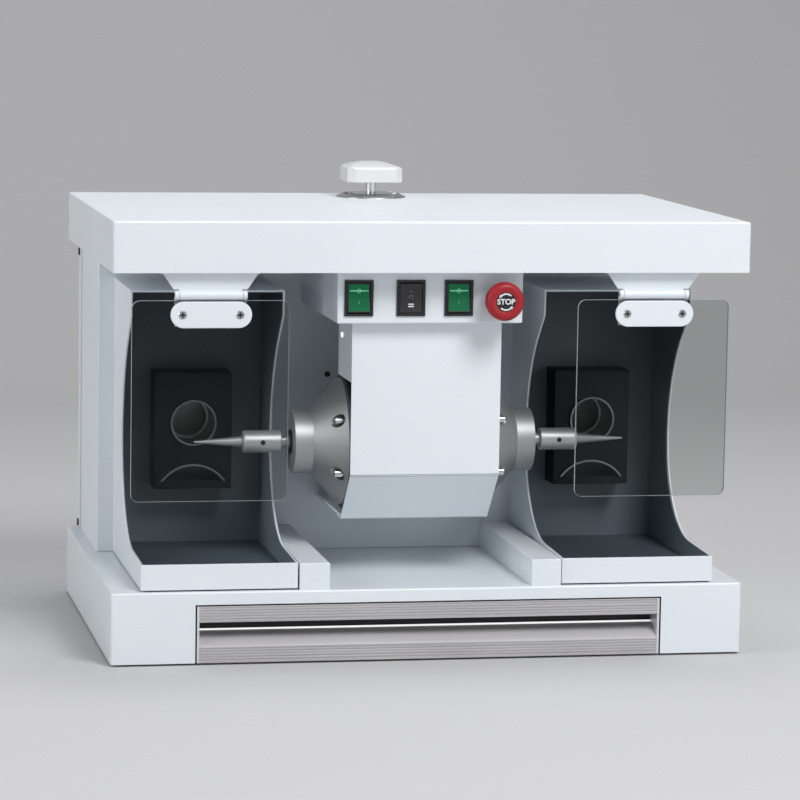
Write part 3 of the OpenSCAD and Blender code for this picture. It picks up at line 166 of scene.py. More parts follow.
spindleCentre = (0.0, -0.091, 0.2055)
finishes = {
    "powderCoat": {"colour": (0.785, 0.838, 0.885), "shade": (0.765, 0.818, 0.868), "grain": (620, 620, 620),
                   "roughness": (0.30, 0.40), "bump": 0.10, "depth": 0.0003},
    # the lining is painted lighter towards its foot: painted light
    "charcoalCoat": {"colour": (0.046, 0.060, 0.075), "shade": (0.037, 0.050, 0.064), "grain": (700, 700, 700),
                     "roughness": (0.36, 0.48), "bump": 0.12, "depth": 0.0003,
                     "dust": {"colour": (0.160, 0.200, 0.235), "low": 0.12, "high": 0.34}},
    # painted light: a lighter copy of the charcoal for the lining's upward faces, as light from above would show
    # them
    "liningFloorPaintedLight": {"colour": (0.085, 0.108, 0.130), "shade": (0.070, 0.092, 0.114), "grain": (700, 700, 700),
                    "roughness": (0.40, 0.52), "bump": 0.12, "depth": 0.0003},
    "boxCoat": {"colour": (0.008, 0.011, 0.013), "shade": (0.012, 0.015, 0.018), "grain": (700, 700, 700),
                "roughness": (0.40, 0.52), "bump": 0.12, "depth": 0.0003, "shader": {"Specular IOR Level": 0.16}},
    "sheetEdge": {"colour": (0.55, 0.58, 0.58), "shade": (0.45, 0.48, 0.48), "grain": (900, 900, 900),
                  "roughness": (0.2, 0.35), "bump": 0.1, "depth": 0.0001},
    # painted highlight: this metal glows faintly, so the drawer's lip and the motor cover's screws show bright as if
    # a lamp caught them
    "glowingHighlightMetal": {"colour": (0.90, 0.90, 0.90), "shade": (0.84, 0.84, 0.85), "grain": (6, 2200, 2200),
                 "roughness": (0.2, 0.3), "bump": 0.1, "depth": 0.0001,
                 "shader": {"Metallic": 0.3, "Emission Color": (1, 1, 1, 1), "Emission Strength": 0.7}},
    "turnedAluminium": {"colour": (0.42, 0.425, 0.435), "shade": (0.38, 0.385, 0.395), "grain": (2600, 900, 1),
                        "turned": (0, spindleCentre), "roughness": (0.40, 0.54), "bump": 0.25, "depth": 0.0001,
                        "grainTint": 0.86, "shader": {"Metallic": 0.7}},
    "motorPaint": {"colour": (0.05, 0.052, 0.055), "shade": (0.04, 0.042, 0.045), "grain": (700, 700, 700),
                   "roughness": (0.35, 0.5), "bump": 0.15, "depth": 0.0002},
    "groundSteel": {"colour": (0.56, 0.565, 0.57), "shade": (0.50, 0.505, 0.51), "grain": (3200, 30, 1),
                    "turned": (0, spindleCentre), "roughness": (0.36, 0.48), "bump": 0.15, "depth": 0.00005,
                    "grainTint": 0.88, "shader": {"Metallic": 0.6}},
    "polishedSteel": {"colour": (0.62, 0.625, 0.63), "shade": (0.56, 0.565, 0.57), "grain": (900, 900, 900),
                      "roughness": (0.14, 0.26), "bump": 0.06, "depth": 0.00005, "shader": {"Metallic": 1.0}},
    # painted shade: a darkened copy of the polished steel, so the suction mouths show dark
    "shadedMouthSteel": {"colour": (0.26, 0.265, 0.27), "shade": (0.20, 0.205, 0.21), "grain": (900, 900, 900),
                   "roughness": (0.28, 0.40), "bump": 0.06, "depth": 0.00005, "shader": {"Metallic": 1.0}},
    "brushedAluminium": {"colour": (0.60, 0.59, 0.605), "shade": (0.55, 0.54, 0.555), "grain": (6, 2200, 2200),
                         "roughness": (0.38, 0.52), "bump": 0.22, "depth": 0.0001, "grainTint": 0.78,
                         "shader": {"Metallic": 0.5}},
    # painted light: a matte copy of the brushed aluminium, so the cove under the upper band shows lighter than the
    # metal would
    "coveLitAluminium": {"colour": (0.56, 0.55, 0.565), "shade": (0.52, 0.51, 0.525), "grain": (6, 2200, 2200),
                      "roughness": (0.45, 0.6), "bump": 0.15, "depth": 0.0001, "grainTint": 0.88,
                      "shader": {"Metallic": 0.0, "Specular IOR Level": 0.3}},
    "capMetal": {"colour": (0.74, 0.75, 0.76), "shade": (0.68, 0.69, 0.70), "grain": (1200, 1200, 1200),
                 "roughness": (0.3, 0.42), "bump": 0.1, "depth": 0.0001, "shader": {"Metallic": 0.3}},
    "slotShade": {"colour": (0.035, 0.034, 0.036), "shade": (0.025, 0.025, 0.027), "grain": (6, 1800, 1800),
                  "roughness": (0.5, 0.65), "bump": 0.1, "depth": 0.0001, "shader": {"Metallic": 0.4}},
    "zincSheet": {"colour": (0.46, 0.47, 0.48), "shade": (0.38, 0.39, 0.40), "driftScale": 60.0,
                  "grain": (240, 240, 240), "roughness": (0.36, 0.5), "bump": 0.08, "grainTint": 0.9,
                  "shader": {"Metallic": 1.0}},
    "blackenedSteel": {"colour": (0.045, 0.048, 0.052), "shade": (0.03, 0.032, 0.036), "grain": (1500, 1500, 1500),
                       "roughness": (0.3, 0.45), "bump": 0.1, "depth": 0.0001, "shader": {"Metallic": 0.7}},
    "motorIron": {"colour": (0.16, 0.15, 0.145), "shade": (0.10, 0.095, 0.09), "grain": (2000, 20, 20),
                  "roughness": (0.45, 0.65), "bump": 0.3, "grainTint": 0.7, "shader": {"Metallic": 0.8}},
    "bezelPlastic": {"colour": (0.010, 0.011, 0.013), "shade": (0.014, 0.015, 0.018), "grain": (1400, 1400, 1400),
                     "roughness": (0.22, 0.34), "bump": 0.08, "depth": 0.0001},
    "rockerPlastic": {"colour": (0.026, 0.024, 0.027), "shade": (0.020, 0.019, 0.021), "grain": (1600, 1600, 1600),
                      "roughness": (0.32, 0.44), "bump": 0.12, "depth": 0.0001},
    # painted light: the green lens glows faintly of itself, with no lamp behind it
    "glowingGreenLens": {"colour": (0.001, 0.110, 0.042), "shade": (0.001, 0.075, 0.030), "driftScale": 90.0,
                  "grain": (900, 900, 900), "roughness": (0.16, 0.28), "bump": 0.05, "depth": 0.0001,
                  "shader": {"Emission Color": (0.001, 0.20, 0.07, 1), "Emission Strength": 0.25,
                             "Specular IOR Level": 0.3}},
    "lensGlint": {"colour": (0.30, 0.70, 0.45), "shade": (0.12, 0.45, 0.25), "driftScale": 120.0,
                  "grain": (900, 900, 900), "roughness": (0.2, 0.3), "bump": 0.05, "depth": 0.0001,
                  "shader": {"Emission Color": (0.20, 0.7, 0.40, 1), "Emission Strength": 0.35}},
    "lensMark": {"colour": (0.10, 0.36, 0.20), "shade": (0.08, 0.30, 0.16), "grain": (900, 900, 900),
                 "roughness": (0.3, 0.4), "bump": 0.05, "depth": 0.0001},
    "stopRed": {"colour": (0.36, 0.016, 0.022), "shade": (0.31, 0.012, 0.018), "grain": (1100, 1100, 1100),
                "roughness": (0.34, 0.46), "bump": 0.08, "depth": 0.0001, "shader": {"Specular IOR Level": 0.35}},
    "printWhite": {"colour": (0.78, 0.79, 0.80), "shade": (0.70, 0.71, 0.72), "grain": (1500, 1500, 1500),
                   "roughness": (0.4, 0.5), "bump": 0.05, "depth": 0.00005},
    "printGrey": {"colour": (0.22, 0.22, 0.23), "shade": (0.17, 0.17, 0.18), "grain": (1500, 1500, 1500),
                  "roughness": (0.4, 0.5), "bump": 0.05, "depth": 0.00005},
    "knobPlastic": {"colour": (0.72, 0.73, 0.735), "shade": (0.69, 0.70, 0.705), "grain": (900, 900, 900),
                    "roughness": (0.26, 0.36), "bump": 0.06, "depth": 0.0002, "shader": {"Coat Weight": 0.2}},
    "rubber": {"colour": (0.012, 0.012, 0.013), "shade": (0.02, 0.02, 0.02), "grain": (900, 900, 900),
               "roughness": (0.6, 0.8), "bump": 0.3},
    "filterFleece": {"colour": (0.62, 0.56, 0.42), "shade": (0.50, 0.45, 0.35), "driftScale": 40.0,
                     "grain": (700, 700, 700), "grainDetail": 6.0, "roughness": (0.8, 0.95), "bump": 0.6,
                     "grainTint": 0.75, "shader": {"Sheen Weight": 0.3}},
}
materials = {name: makeFinish(name, look) for name, look in finishes.items()}

clearSheet = {
    "tint": (0.84, 0.85, 0.845, 1),
    "indexOfRefraction": 1.45,
    "roughness": (0.03, 0.05),
    "smudge": 28.0,  # scale of the smudges
    "gloss": 0.20,  # share of the full reflection
}


def makeClearPlastic():
    # a thin sheet: what lies behind it keeps its place, and only the gloss is added
    material = bpy.data.materials.new("clearPlastic")
    material.use_nodes = True
    tree = material.node_tree
    tree.nodes.remove(tree.nodes["Principled BSDF"])
    place = tree.nodes.new("ShaderNodeTexCoord").outputs["Object"]
    smudge = addNode(tree, "ShaderNodeTexNoise", Scale=clearSheet["smudge"], Detail=5.0)
    tree.links.new(place, smudge.inputs["Vector"])
    gloss = tree.nodes.new("ShaderNodeBsdfGlossy")
    tree.links.new(mapped(tree, smudge.outputs["Fac"], *clearSheet["roughness"]), gloss.inputs["Roughness"])
    letThrough = tree.nodes.new("ShaderNodeBsdfTransparent")
    letThrough.inputs["Color"].default_value = clearSheet["tint"]
    fresnel = addNode(tree, "ShaderNodeFresnel", IOR=clearSheet["indexOfRefraction"])
    weaker = addNode(tree, "ShaderNodeMath", {"operation": "MULTIPLY"})
    weaker.inputs[1].default_value = clearSheet["gloss"]
    tree.links.new(fresnel.outputs[0], weaker.inputs[0])
    choose = tree.nodes.new("ShaderNodeMixShader")
    tree.links.new(weaker.outputs[0], choose.inputs[0])
    tree.links.new(letThrough.outputs[0], choose.inputs[1])
    tree.links.new(gloss.outputs[0], choose.inputs[2])
    tree.links.new(choose.outputs[0], tree.nodes["Material Output"].inputs["Surface"])
    return material


materials["clearPlastic"] = makeClearPlastic()
print("finishes made")


def addPiece(name, bm, finish, body, replaced=(), sharpAngle=32.0, others=()):
    # others are (finish, test of a face's middle and normal) for the faces that look different
    mesh = bpy.data.meshes.new(name)
    bm.normal_update()
    for face in bm.faces:
        middle = face.calc_center_median()
        face.material_index = next((i + 1 for i, other in enumerate(others) if other[1](middle, face.normal)), 0)
    bm.to_mesh(mesh)
    bm.free()
    mesh.polygons.foreach_set("use_smooth", [True] * len(mesh.polygons))
    mesh.set_sharp_from_angle(angle=math.radians(sharpAngle))
    mesh.materials.append(materials[finish])
    for other in others:
        mesh.materials.append(materials[other[0]])
    piece = bpy.data.objects.new(name, mesh)
    scene.collection.objects.link(piece)
    evenShading = piece.modifiers.new("evenShading", "WEIGHTED_NORMAL")
    evenShading.keep_sharp = True
    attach(piece, body)
    if replaced:
        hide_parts(*replaced)
    return piece


def solidCopy(node):
    bm = bmesh.new()
    bm.from_mesh(cadNodes[node].data)
    bmesh.ops.remove_doubles(bm, verts=bm.verts, dist=2e-6)
    bmesh.ops.dissolve_limit(bm, angle_limit=math.radians(0.4), verts=bm.verts, edges=bm.edges)
    return bm


def refillFlats(bm):
    # dissolving leaves a flat face with holes cut in two, so it is filled again inside its outlines
    bm.normal_update()
    flatEdges = [edge for edge in bm.edges if len(edge.link_faces) == 2 and edge.calc_face_angle(1) < 1e-4]
    # dictionaries keep their order, so that every run fills the flats alike
    todo = dict.fromkeys(face for edge in flatEdges for face in edge.link_faces)
    flatEdges = dict.fromkeys(flatEdges)
    while todo:
        waiting = [todo.popitem()[0]]
        group = dict.fromkeys(waiting)
        while waiting:
            for edge in waiting.pop().edges:
                if edge not in flatEdges:
                    continue
                for other in edge.link_faces:
                    if other in todo:
                        del todo[other]
                        group[other] = None
                        waiting.append(other)
        outline = [edge for face in group for edge in face.edges
                   if sum(other in group for other in edge.link_faces) == 1]
        normal = next(iter(group)).normal.copy()
        inner = dict.fromkeys(edge for face in group for edge in face.edges if edge not in outline)
        bmesh.ops.delete(bm, geom=list(group), context="FACES_ONLY")
        loose = [edge for edge in inner if edge.is_valid and not edge.link_faces]
        bmesh.ops.delete(bm, geom=loose, context="EDGES")
        made = bmesh.ops.triangle_fill(bm, edges=outline, use_beauty=True, normal=normal)
        for face in made["geom"]:
            if isinstance(face, bmesh.types.BMFace) and face.normal.dot(normal) < 0:
                face.normal_flip()


def softenEdges(bm, width, segments=2, wanted=None, angle=32.0):
    limit = math.radians(angle)
    edges = [edge for edge in bm.edges if len(edge.link_faces) == 2 and edge.calc_face_angle(0) > limit
             and (wanted is None or wanted(edge))]
    if edges:
        bmesh.ops.bevel(bm, geom=edges, offset=width, offset_type="OFFSET", affect="EDGES", segments=segments,
                        profile=0.5, material=-1, clamp_overlap=False, loop_slide=False)


def onPlane(axis, value):
    return lambda edge: all(abs(vert.co[axis] - value) < touching for vert in edge.verts)


def onLine(axisA, valueA, axisB, valueB):
    return lambda edge: all(abs(abs(vert.co[axisA]) - valueA) < touching and abs(vert.co[axisB] - valueB) < touching
                            for vert in edge.verts)


def pieceName(node):
    words = node.split("_")
    return words[0] + "".join(word.capitalize() for word in words[1:])


def dressNode(node, finish, width=0.4, segments=2, folds=(), sharpAngle=32.0, others=()):
    bm = solidCopy(node)
    for foldWidth, wanted in folds:
        softenEdges(bm, foldWidth * mm, 4, wanted)
    if width:
        # the short edges that a fold leaves stay as they are
        longEnough = (lambda edge: edge.calc_length() > 2 * width * mm) if folds else None
        softenEdges(bm, width * mm, segments, longEnough)
    refillFlats(bm)
    return addPiece(pieceName(node), bm, finish, bodyOf[node], [node], sharpAngle=sharpAngle, others=others)


def spinProfile(points, axis, centre, steps=72):
    # points are (radius, place along the axis) in metres
    bm = bmesh.new()
    verts = []
    for radius, along in points:
        place = Vector(centre)
        place[axis] = along
        place[(axis + 1) % 3] += radius
        verts.append(bm.verts.new(place))
    edges = [bm.edges.new(pair) for pair in zip(verts, verts[1:])]
    turnAxis = [1.0 if i == axis else 0.0 for i in range(3)]
    bmesh.ops.spin(bm, geom=verts + edges, cent=centre, axis=turnAxis, angle=2 * math.pi, steps=steps,
                   use_merge=True, use_duplicate=False)
    bmesh.ops.remove_doubles(bm, verts=bm.verts, dist=1e-6)
    bmesh.ops.recalc_face_normals(bm, faces=bm.faces)
    return bm


def grownVerts(result):
    # the new points of an extrusion
    return [item for item in result["geom"] if isinstance(item, bmesh.types.BMVert)]


def blockBetween(bm, low, high):
    low, high = Vector(low), Vector(high)
    size = Matrix.Diagonal((*(high - low), 1))
    return bmesh.ops.create_cube(bm, size=1.0, matrix=Matrix.Translation((low + high) / 2) @ size)["verts"]


# radii of the folded sheet edges, mm
housing = {"coverFold": 2.0, "baseFold": 2.0, "railFold": 1.2, "columnFold": 1.5, "hoodRim": 0.55, "panelFold": 1.5,
           "guardFold": 1.2, "guardBend": 180.0}  # the last is the height of the motor cover's lower bend
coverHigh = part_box("top_cover")[1]
baseLow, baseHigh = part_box("base_shell")
columnLow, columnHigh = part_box("column_shell")
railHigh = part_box("base_rails")[1]
panelLow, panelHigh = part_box("control_panel")
guardLow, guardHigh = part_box("motor_cover")
drawerLow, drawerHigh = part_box("drawer_front")
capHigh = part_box("drawer_caps")[1]


def isDrawerGapShade(middle, normal):
    # painted shade: the walls of the opening that the drawer's front closes, coloured black so the gap round the
    # drawer reads dark
    return (abs(middle.x) < capHigh.x + 3 * mm and middle.z < drawerHigh.z + 3 * mm
            and baseLow.y + 0.3 * mm < middle.y < baseLow.y + 5 * mm and abs(normal.y) < 0.5)


def isPanelFold(edge):
    def planes(place):
        return ((abs(abs(place.x) - panelHigh.x) < touching) + (abs(place.y - panelLow.y) < touching)
                + (abs(place.z - guardHigh.z) < touching))

    return all(planes(vert.co) >= 2 for vert in edge.verts)


def isGuardFold(edge):
    # the long edges at the motor cover's foot and at its lower bend
    return edge.calc_length() > 0.1 and all(
        (vert.co.z < guardLow.z + 3 * mm and vert.co.y < guardHigh.y - 15 * mm)
        or abs(vert.co.z - housing["guardBend"] * mm) < 3 * mm for vert in edge.verts)


def isGuardScrew(middle, normal):
    return guardHigh.x - 1 * mm < abs(middle.x) < 100 * mm and middle.y < -50 * mm


dressNode("top_cover", "powderCoat", 0.4, folds=[(housing["coverFold"], onPlane(2, coverHigh.z))])
dressNode("cover_floor", "powderCoat", 0)
# painted shade: the drawer opening's walls are coloured black rubber
dressNode("base_shell", "powderCoat", 0.4, folds=[(housing["baseFold"], onPlane(2, baseHigh.z))],
          others=[("rubber", isDrawerGapShade)])
dressNode("base_rails", "powderCoat", 0.3, folds=[(housing["railFold"], onPlane(2, railHigh.z))])
dressNode("column_shell", "powderCoat", 0.3,
          folds=[(housing["columnFold"], onLine(0, columnHigh.x, 1, columnLow.y))])
dressNode("rear_cover", "powderCoat", 0.3)
for side in ("left", "right"):
    dressNode(side + "_hood", "powderCoat", housing["hoodRim"])
# painted light: the lining's floor faces take the lighter copy of its coat
dressNode("hood_linings", "charcoalCoat", 0.2,
          others=[("liningFloorPaintedLight", lambda middle, normal: normal.z > 0.9 and middle.z < 0.2)])
dressNode("suction_boxes", "boxCoat", 0.5)
# painted shade: the suction mouths take the darkened steel
dressNode("suction_mouths", "shadedMouthSteel", 0.4)
dressNode("control_panel", "powderCoat", 0.25, folds=[(housing["panelFold"], isPanelFold)])
dressNode("motor_cover", "powderCoat", 0.3, folds=[(housing["guardFold"], isGuardFold)])
# the motor cover's screws take the glowing metal, a painted highlight
dressNode("housing_screws", "blackenedSteel", 0.2, others=[("glowingHighlightMetal", isGuardScrew)])
for node, finish in {"motor_shelf": "powderCoat", "power_inlet": "bezelPlastic",
                     "base_plate": "zincSheet", "rubber_feet": "rubber"}.items():
    dressNode(node, finish, 0.2)
print("housing made")

clampScrew = {
    "armLength": 0.66,  # shares of the head's radius
    "armWidth": 0.2,
    "recess": 0.7,  # mm
    "chamfer": 0.3,
    "shankRadius": 1.5,
    "steps": 40,
}


def crossHead(radius, thickness):
    # a screw head round local Z with its front at z = 0 and a cross-shaped recess
    chamfer = clampScrew["chamfer"] * mm
    bm = spinProfile([(radius - chamfer, 0.0), (radius, -chamfer), (radius, -thickness)], 2, (0, 0, 0),
                     clampScrew["steps"])
    openEdges = [edge for edge in bm.edges if edge.is_boundary]
    rim = [edge for edge in openEdges if edge.verts[0].co.z > -chamfer / 2]
    bmesh.ops.edgeloop_fill(bm, edges=[edge for edge in openEdges if edge not in rim])
    near, far = clampScrew["armWidth"] * radius, clampScrew["armLength"] * radius
    outline = [(near, far), (-near, far), (-near, near), (-far, near), (-far, -near), (-near, -near),
               (-near, -far), (near, -far), (near, -near), (far, -near), (far, near), (near, near)]
    corners = [bm.verts.new((x, y, 0)) for x, y in outline]
    cross = [bm.edges.new(pair) for pair in zip(corners, corners[1:] + corners[:1])]
    walls = bmesh.ops.extrude_edge_only(bm, edges=cross)
    bmesh.ops.translate(bm, vec=(0, 0, -clampScrew["recess"] * mm), verts=grownVerts(walls))
    bmesh.ops.edgeloop_fill(bm, edges=[item for item in walls["geom"] if isinstance(item, bmesh.types.BMEdge)
                                       and all(vert.co.z < -chamfer / 2 for vert in item.verts)])
    bmesh.ops.triangle_fill(bm, edges=rim + cross, use_beauty=True)
    bmesh.ops.recalc_face_normals(bm, faces=bm.faces)
    return bm


def joinInto(bm, part, matrix=None):
    if matrix is not None:
        bmesh.ops.transform(part, verts=part.verts, matrix=matrix)
    mesh = bpy.data.meshes.new("part")
    part.to_mesh(mesh)
    part.free()
    bm.from_mesh(mesh)
    bpy.data.meshes.remove(mesh)


def clampScrews(side):
    node = side + "_clamp_screws"
    low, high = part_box(node)
    radius = (high.z - low.z) / 2
    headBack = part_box(side + "_clamp_plate")[0].y
    bm = bmesh.new()
    faceFront = Matrix.Rotation(math.pi / 2, 4, "X")
    for x in (low.x + radius, high.x - radius):
        place = Matrix.Translation((x, low.y, (low.z + high.z) / 2))
        joinInto(bm, crossHead(radius, headBack - low.y), place @ faceFront)
        thick, start = clampScrew["shankRadius"] * mm, headBack - 0.2 * mm
        joinInto(bm, spinProfile([(0.0, start), (thick, start), (thick, high.y), (0.0, high.y)],
                                 1, (x, 0, (low.z + high.z) / 2), 24))
    screwX = (high.x - low.x) / 2 - radius

    def inRecess(middle, normal):
        return (low.y + 0.3 * mm < middle.y < headBack - 0.1 * mm
                and abs(abs(middle.x - (low.x + high.x) / 2) - screwX) < 0.7 * radius)

    addPiece(pieceName(node), bm, "polishedSteel", bodyOf[node], [node], others=[("blackenedSteel", inRecess)])


for side in ("left", "right"):
    dressNode(side + "_shield", "clearPlastic", 0.5, 2,
              others=[("sheetEdge", lambda middle, normal: abs(normal.y) < 0.8)])
    dressNode(side + "_shield_leaf", "powderCoat", 0.3)
    dressNode(side + "_clamp_plate", "powderCoat", 0.9, 4)
    clampScrews(side)
dressNode("hinge_brackets", "powderCoat", 0.4)
dressNode("hinge_pins", "polishedSteel", 0.3)
print("shields made")

switchMarks = {
    "faceDepth": 3.0,  # mm, from the pivot forward to the rocker's face
    "faceLean": 7.0,  # degrees, of each half of the face
    "raised": 0.12,
    "ringRadius": 2.1,
    "ringWidth": 0.5,
    "barLength": 3.2,
    "barWidth": 0.8,
    "lensWidth": 20.8,
    "lensHeight": 26.6,
    "glintLength": 18.8,
    "glintWidth": 1.0,
    "glintHeight": 6.8,  # this and the next four are heights above the rocker's middle
    "onMark": -4.7,
    "firstMark": 6.6,
    "offMark": 0.9,
    "secondMarks": (-6.1, -8.3),
    "secondMark": (5.6, 1.3),  # length and width of each of the two bars
}
dressNode("switch_frames", "bezelPlastic", 0.35, 3)
for node in ("left_rocker", "middle_rocker", "right_rocker"):
    dressNode(node, "rockerPlastic", 0.35, 3)


def rockerMarks(node, name, finish, tip, shapes, lift=0.01):
    # shapes are (size or ring, height above the rocker's middle), drawn on the unturned face, then tipped with it
    low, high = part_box(node)
    middle = (low + high) / 2
    pivot = Vector((middle.x, rockerPivot.y, rockerPivot.z))
    bm = bmesh.new()
    for kind, z in shapes:
        lean = math.radians(switchMarks["faceLean"]) if z > 0 else -math.radians(switchMarks["faceLean"])
        face = -switchMarks["faceDepth"] - abs(z) * math.tan(abs(lean))
        if kind == "ring":
            piece = spinProfile([((switchMarks["ringRadius"] - switchMarks["ringWidth"]) * mm, 0.0),
                                (switchMarks["ringRadius"] * mm, 0.0)], 1, (0, 0, 0), 32)
            grown = bmesh.ops.extrude_face_region(piece, geom=piece.faces[:])
            bmesh.ops.translate(piece, vec=(0, -switchMarks["raised"] * mm, 0), verts=grownVerts(grown))
            bmesh.ops.recalc_face_normals(piece, faces=piece.faces)
        else:
            sizeX, sizeZ = kind
            piece = bmesh.new()
            blockBetween(piece, (-sizeX / 2 * mm, -switchMarks["raised"] * mm, -sizeZ / 2 * mm),
                         (sizeX / 2 * mm, 0.0, sizeZ / 2 * mm))
        joinInto(bm, piece, Matrix.Translation((0, (face - lift) * mm, z * mm)) @ Matrix.Rotation(lean, 4, "X"))
    bmesh.ops.transform(bm, verts=bm.verts, matrix=Matrix.Translation(pivot)
                        @ Matrix.Rotation(math.radians(tip), 4, "X"))
    return addPiece(name, bm, finish, bodyOf[node])


rockerPivot = Vector(next(joint["pos_m"] for joint in frame["joints"] if joint["name"] == "middle_switch_rock"))
bar = (switchMarks["barWidth"], switchMarks["barLength"])
dash = (switchMarks["barLength"], switchMarks["barWidth"])
halfLens = switchMarks["lensHeight"] / 2
greenTip = -switchMarks["faceLean"]
# the green lenses glow faintly: painted light
for side in ("left", "right"):
    rockerMarks(side + "_rocker", side + "RockerLens", "glowingGreenLens", greenTip,
                [((switchMarks["lensWidth"], halfLens - 0.1), z) for z in (halfLens / 2, -halfLens / 2)])
    rockerMarks(side + "_rocker", side + "RockerMark", "lensMark", greenTip, [(bar, switchMarks["onMark"])], 0.1)
    rockerMarks(side + "_rocker", side + "RockerGlint", "lensGlint", greenTip,
                [((switchMarks["glintLength"], switchMarks["glintWidth"]), switchMarks["glintHeight"]),
                 ("ring", switchMarks["glintHeight"])], 0.1)
rockerMarks("middle_rocker", "middleRockerMarks", "printGrey", 0.0,
            [(dash, switchMarks["firstMark"]), ("ring", switchMarks["offMark"])])
rockerMarks("middle_rocker", "middleRockerBars", "printWhite", 0.0,
            [(switchMarks["secondMark"], z) for z in switchMarks["secondMarks"]])
print("switches made")

stopButton = {
    "discRadius": 9.9,  # mm
    "discRecess": 0.35,
    "dish": 0.7,
    "rimStart": 0.72,  # share of the radius
    "rimDepth": 6.4,
    # of the head's back: how far in from its radius, how far behind its front
    "skirt": ((0.0, 9.0), (0.5, 12.0), (2.0, 13.6), (4.5, 13.6)),
    "neckRadius": 9.2,
    "holeRadius": 6.05,
    "holeEnd": 4.0,
    "letterSize": 7.5,
    "letterDepth": 0.06,
    "letterWeight": 0.22,
    "arcRadius": 7.9,
    "arcWidth": 1.5,
    "arcSpan": 80.0,  # degrees
    "arrowSize": 2.8,
    "raised": 0.12,
}
headLow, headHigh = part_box("stop_head")
headCentre = (headLow + headHigh) / 2
headRadius = (headHigh.x - headLow.x) / 2
frontY = headLow.y
discY = frontY + stopButton["dish"] * mm
discRadius = stopButton["discRadius"] * mm


def headProfile():
    start, hole = stopButton["rimStart"], stopButton["holeRadius"] * mm
    recessY, holeY = discY + stopButton["discRecess"] * mm, frontY + stopButton["holeEnd"] * mm
    points = [(0.0, recessY), (discRadius, recessY), (discRadius + 0.2 * mm, discY),
              (headRadius * start - 1.6 * mm, frontY + 0.15 * mm)]
    for i in range(0, 11):
        turn = math.pi / 2 * i / 10
        points.append((headRadius * (start + (1 - start) * math.sin(turn)),
                       frontY + stopButton["rimDepth"] * mm * (1 - math.cos(turn))))
    points += [(headRadius - inwards * mm, frontY + behind * mm) for inwards, behind in stopButton["skirt"]]
    points += [(stopButton["neckRadius"] * mm, headHigh.y), (hole, headHigh.y), (hole, holeY), (0.0, holeY)]
    return points


def discProfile():
    edge = discRadius - 0.2 * mm
    return [(0.0, discY + 0.02 * mm), (discRadius - 0.5 * mm, discY + 0.02 * mm), (edge, discY + 0.15 * mm),
            (edge, discY + 0.34 * mm), (0.0, discY + 0.34 * mm)]


addPiece("stopHead", spinProfile(headProfile(), 1, headCentre, 96), "stopRed", "stop_button", ["stop_head"])
addPiece("stopDisc", spinProfile(discProfile(), 1, headCentre, 64), "bezelPlastic", "stop_button")


def flatWord(name, word, size, finish, body, centre):
    curve = bpy.data.curves.new(name + "Curve", "FONT")
    curve.body = word
    curve.size = size
    curve.align_x = "CENTER"
    curve.align_y = "CENTER"
    curve.extrude = stopButton["letterDepth"] * mm
    curve.offset = stopButton["letterWeight"] * mm
    wordObject = bpy.data.objects.new(name + "Curve", curve)
    scene.collection.objects.link(wordObject)
    bpy.context.view_layer.update()
    mesh = bpy.data.meshes.new_from_object(wordObject.evaluated_get(bpy.context.evaluated_depsgraph_get()))
    bpy.data.objects.remove(wordObject)
    bm = bmesh.new()
    bm.from_mesh(mesh)
    bpy.data.meshes.remove(mesh)
    bmesh.ops.remove_doubles(bm, verts=bm.verts, dist=1e-6)
    bmesh.ops.transform(bm, verts=bm.verts, matrix=Matrix.Translation(centre) @ Matrix.Rotation(math.pi / 2, 4, "X"))
    return addPiece(name, bm, finish, body)


letterPlace = Vector((headCentre.x, discY - 0.04 * mm, headCentre.z))
flatWord("stopWord", "STOP", stopButton["letterSize"] * mm, "printWhite", "stop_button", letterPlace)


def twistArrows():
    bm = bmesh.new()
    half = stopButton["arcWidth"] / 2 * mm
    span = math.radians(stopButton["arcSpan"])
    for start in (math.radians(90) - span / 2, math.radians(270) - span / 2):
        arm = Matrix.Translation(letterPlace) @ Matrix.Rotation(-start, 4, "Y")
        inner = bm.verts.new(arm @ Vector((stopButton["arcRadius"] * mm - half, 0, 0)))
        outer = bm.verts.new(arm @ Vector((stopButton["arcRadius"] * mm + half, 0, 0)))
        edge = bm.edges.new((inner, outer))
        bmesh.ops.spin(bm, geom=[inner, outer, edge], cent=letterPlace, axis=(0, -1, 0), angle=span, steps=24)
        tip = Matrix.Translation(letterPlace) @ Matrix.Rotation(-(start + span), 4, "Y")
        size = stopButton["arrowSize"] * mm
        corners = [bm.verts.new(tip @ Vector((stopButton["arcRadius"] * mm + dx, 0, dz)))
                   for dx, dz in ((-size * 0.62, 0), (size * 0.62, 0), (0, size))]
        bm.faces.new(corners)
    bmesh.ops.remove_doubles(bm, verts=bm.verts, dist=1e-6)
    bmesh.ops.solidify(bm, geom=bm.faces[:], thickness=stopButton["raised"] * mm)
    bmesh.ops.recalc_face_normals(bm, faces=bm.faces)
    return bm


addPiece("stopArrows", twistArrows(), "printWhite", "stop_button")
dressNode("stop_collar", "bezelPlastic", 0.4)
dressNode("stop_stem", "polishedSteel", 0)
print("stop button made")

motor = {"blackRingStart": 65.5, "slingerStart": 8.0, "slingerPlace": 120.0}  # mm from the spindle's line, and along it


def fromTheSpindle(point):
    return math.hypot(point.y - spindleCentre[1], point.z - spindleCentre[2])


# faces farther than blackRingStart from the spindle's line are coloured black
def isBlackRing(middle, normal):
    return fromTheSpindle(middle) > motor["blackRingStart"] * mm


def isSlinger(middle, normal):
    return abs(middle.x) > motor["slingerPlace"] * mm and fromTheSpindle(middle) > motor["slingerStart"] * mm


